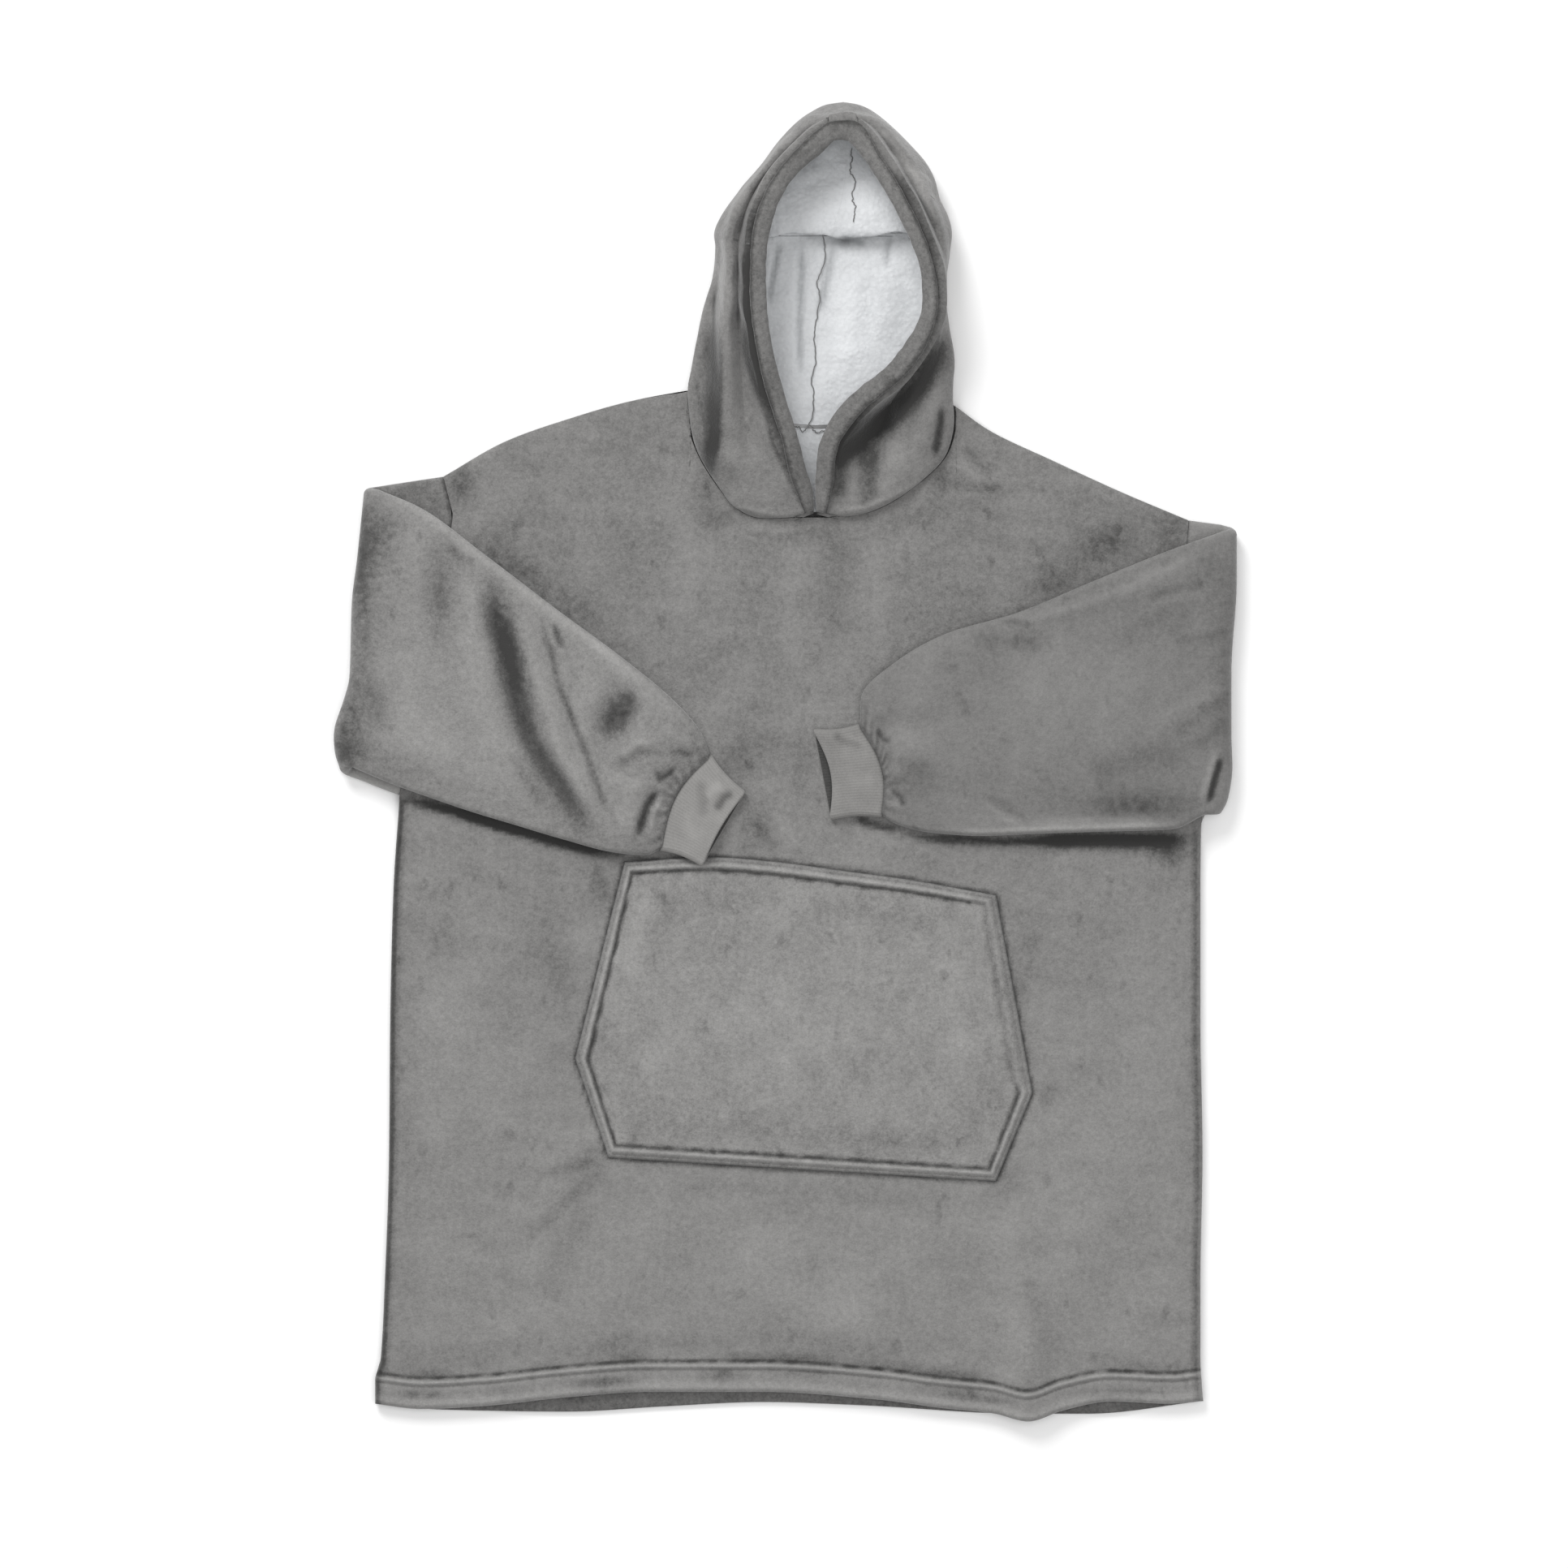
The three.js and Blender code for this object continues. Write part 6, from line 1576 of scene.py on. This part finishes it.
# %% [markdown]
# ## Seam threads
#
# The overlocked seams inside the hood show as wavering grey threads on the white sherpa. Each is a
# thin tube laid on the lining a little above its pile.

# %% Threads on the lining
THREAD_LIFT = 0.4
NECK_PILE = np.array([[27.0, 290.0, 6.8]])
lining = [lining_grid[half][:-1, 4:].reshape(-1, 3) for half in ("right", "left")]
LINING_PILE = np.concatenate([*lining, NECK_PILE])


def lay_thread(name, pixels, radius, amount, pace, seed):
    """A wavering thread along pixels, resting on whatever pile lies below it."""
    line = even(place(pixels))
    t = np.linspace(0, 1, max(40, int(len(pixels) * 30)))
    flat = line(t)
    across = unit(np.gradient(flat, axis=0))[:, ::-1] * [-1, 1]
    waver = swell(t * 100, 0 * t, pace, seed) + 0.5 * swell(t * 100, 0 * t, pace / 3, seed + 1)
    flat = flat + across * (amount * waver)[:, None]
    close = [np.hypot(*(LINING_PILE[:, :2] - p).T) < 3.0 for p in flat]
    z = np.array([LINING_PILE[near, 2].max(initial=6.0) for near in close])
    z = np.convolve(np.pad(z, 3, mode="edge"), np.ones(7) / 7, mode="valid") + THREAD_LIFT
    path = np.column_stack([flat, z])
    tangent = unit(np.gradient(path, axis=0))
    sideways = unit(np.cross(tangent, [0, 0, 1]))[:, None]
    upwards = np.cross(sideways[:, 0], tangent)[:, None]
    turn = np.linspace(0, 2 * np.pi, 6, endpoint=False)[None, :, None]
    ring = path[:, None] + radius * (sideways * np.cos(turn) + upwards * np.sin(turn))
    finish_piece(make_piece(name, ring, path.mean(0), closed=True), THREAD)


CROWN_SEAM = [(1048, 184), (1050, 200), (1047, 212), (1053, 226), (1050, 246), (1053, 262), (1051, 276)]
SPINE_SEAM = [
    (1013, 292), (1017, 316), (1008, 350), (1009, 372), (1005, 400), (1004, 440), (1001, 470),
    (1003, 500), (996, 524),
]
NECK_SEAM = [(974, 532), (980, 526), (990, 530), (998, 528), (1005, 534), (1014, 529)]
lay_thread("crown_seam_thread", CROWN_SEAM, 0.5, 0.7, 14, 71)
lay_thread("spine_seam_thread", SPINE_SEAM, 0.5, 0.7, 12, 72)
lay_thread("neck_seam_thread", NECK_SEAM, 0.4, 1.4, 22, 73)

# %% [markdown]
# ## Floor, light and camera
#
# The garment lies on a plain pale floor. A wide soft light hangs over its hood end, a little to
# its right, so that shadows are short and fall towards the hem, and a weak even light fills them.
# The camera looks straight down from far away through a long lens, as a studio's does, so that
# what stands higher isn't drawn larger.

# %% Floor
REACH, LEVEL = 8, -0.0004
floor = bpy.data.meshes.new("floor")
corners = [
    (-REACH, -REACH, LEVEL), (REACH, -REACH, LEVEL),
    (REACH, REACH, LEVEL), (-REACH, REACH, LEVEL),
]
floor.from_pydata(corners, [], [(0, 1, 2, 3)])
floor_object = bpy.data.objects.new("floor", floor)
bpy.context.collection.objects.link(floor_object)
pale = bpy.data.materials.new("pale_floor")
pale.use_nodes = True
surface = pale.node_tree.nodes["Principled BSDF"].inputs
surface["Base Color"].default_value = (0.98, 0.98, 0.98, 1)
surface["Roughness"].default_value = 0.9
surface["Specular IOR Level"].default_value = 0.0
floor.materials.append(pale)


# %% Light
def soft_light(name, location, size, power):
    """A round lamp that looks at the garment's middle."""
    light = bpy.data.lights.new(name, "AREA")
    light.shape = "DISK"
    light.size = size
    light.energy = power
    lamp = bpy.data.objects.new(name, light)
    lamp.location = location
    x, y, z = location
    lamp.rotation_euler = (np.arctan2(np.hypot(x, y), z), 0, np.arctan2(-x, y) + np.pi)
    bpy.context.collection.objects.link(lamp)


soft_light("key", (-1.3, 2.6, 2.4), 1.9, 99)
soft_light("overhead", (0.6, -0.4, 3.4), 3.0, 46)
world = bpy.data.worlds.new("studio")
world.use_nodes = True
world.node_tree.nodes["Background"].inputs["Color"].default_value = (1, 1, 1, 1)
world.node_tree.nodes["Background"].inputs["Strength"].default_value = 0.52
bpy.context.scene.world = world
bpy.context.scene.view_settings.view_transform = "Standard"
print("lights", [lamp.name for lamp in bpy.data.lights])

# %% Camera
FRAME_WIDTH, CAMERA_HEIGHT, SENSOR = 1.468, 7.0, 36.0
PHOTO_CENTRE = (966, 966)
camera = bpy.data.cameras.new("camera")
camera.sensor_width = SENSOR
camera.lens = SENSOR * CAMERA_HEIGHT / FRAME_WIDTH
camera.clip_end = 60
camera_object = bpy.data.objects.new("camera", camera)
centre = (place(PHOTO_CENTRE) / 1000).tolist()
camera_object.location = (*centre, CAMERA_HEIGHT)
bpy.context.collection.objects.link(camera_object)
bpy.context.scene.camera = camera_object
print("lens", round(camera.lens, 1), "mm over", [round(v, 4) for v in centre])

# %% [markdown]
# ## Count of triangles

# Cloth may stand a few millimetres proud of the imported solids and no more.


print("triangles", sum(2 * len(p.data.polygons) for p in PIECES.values()))
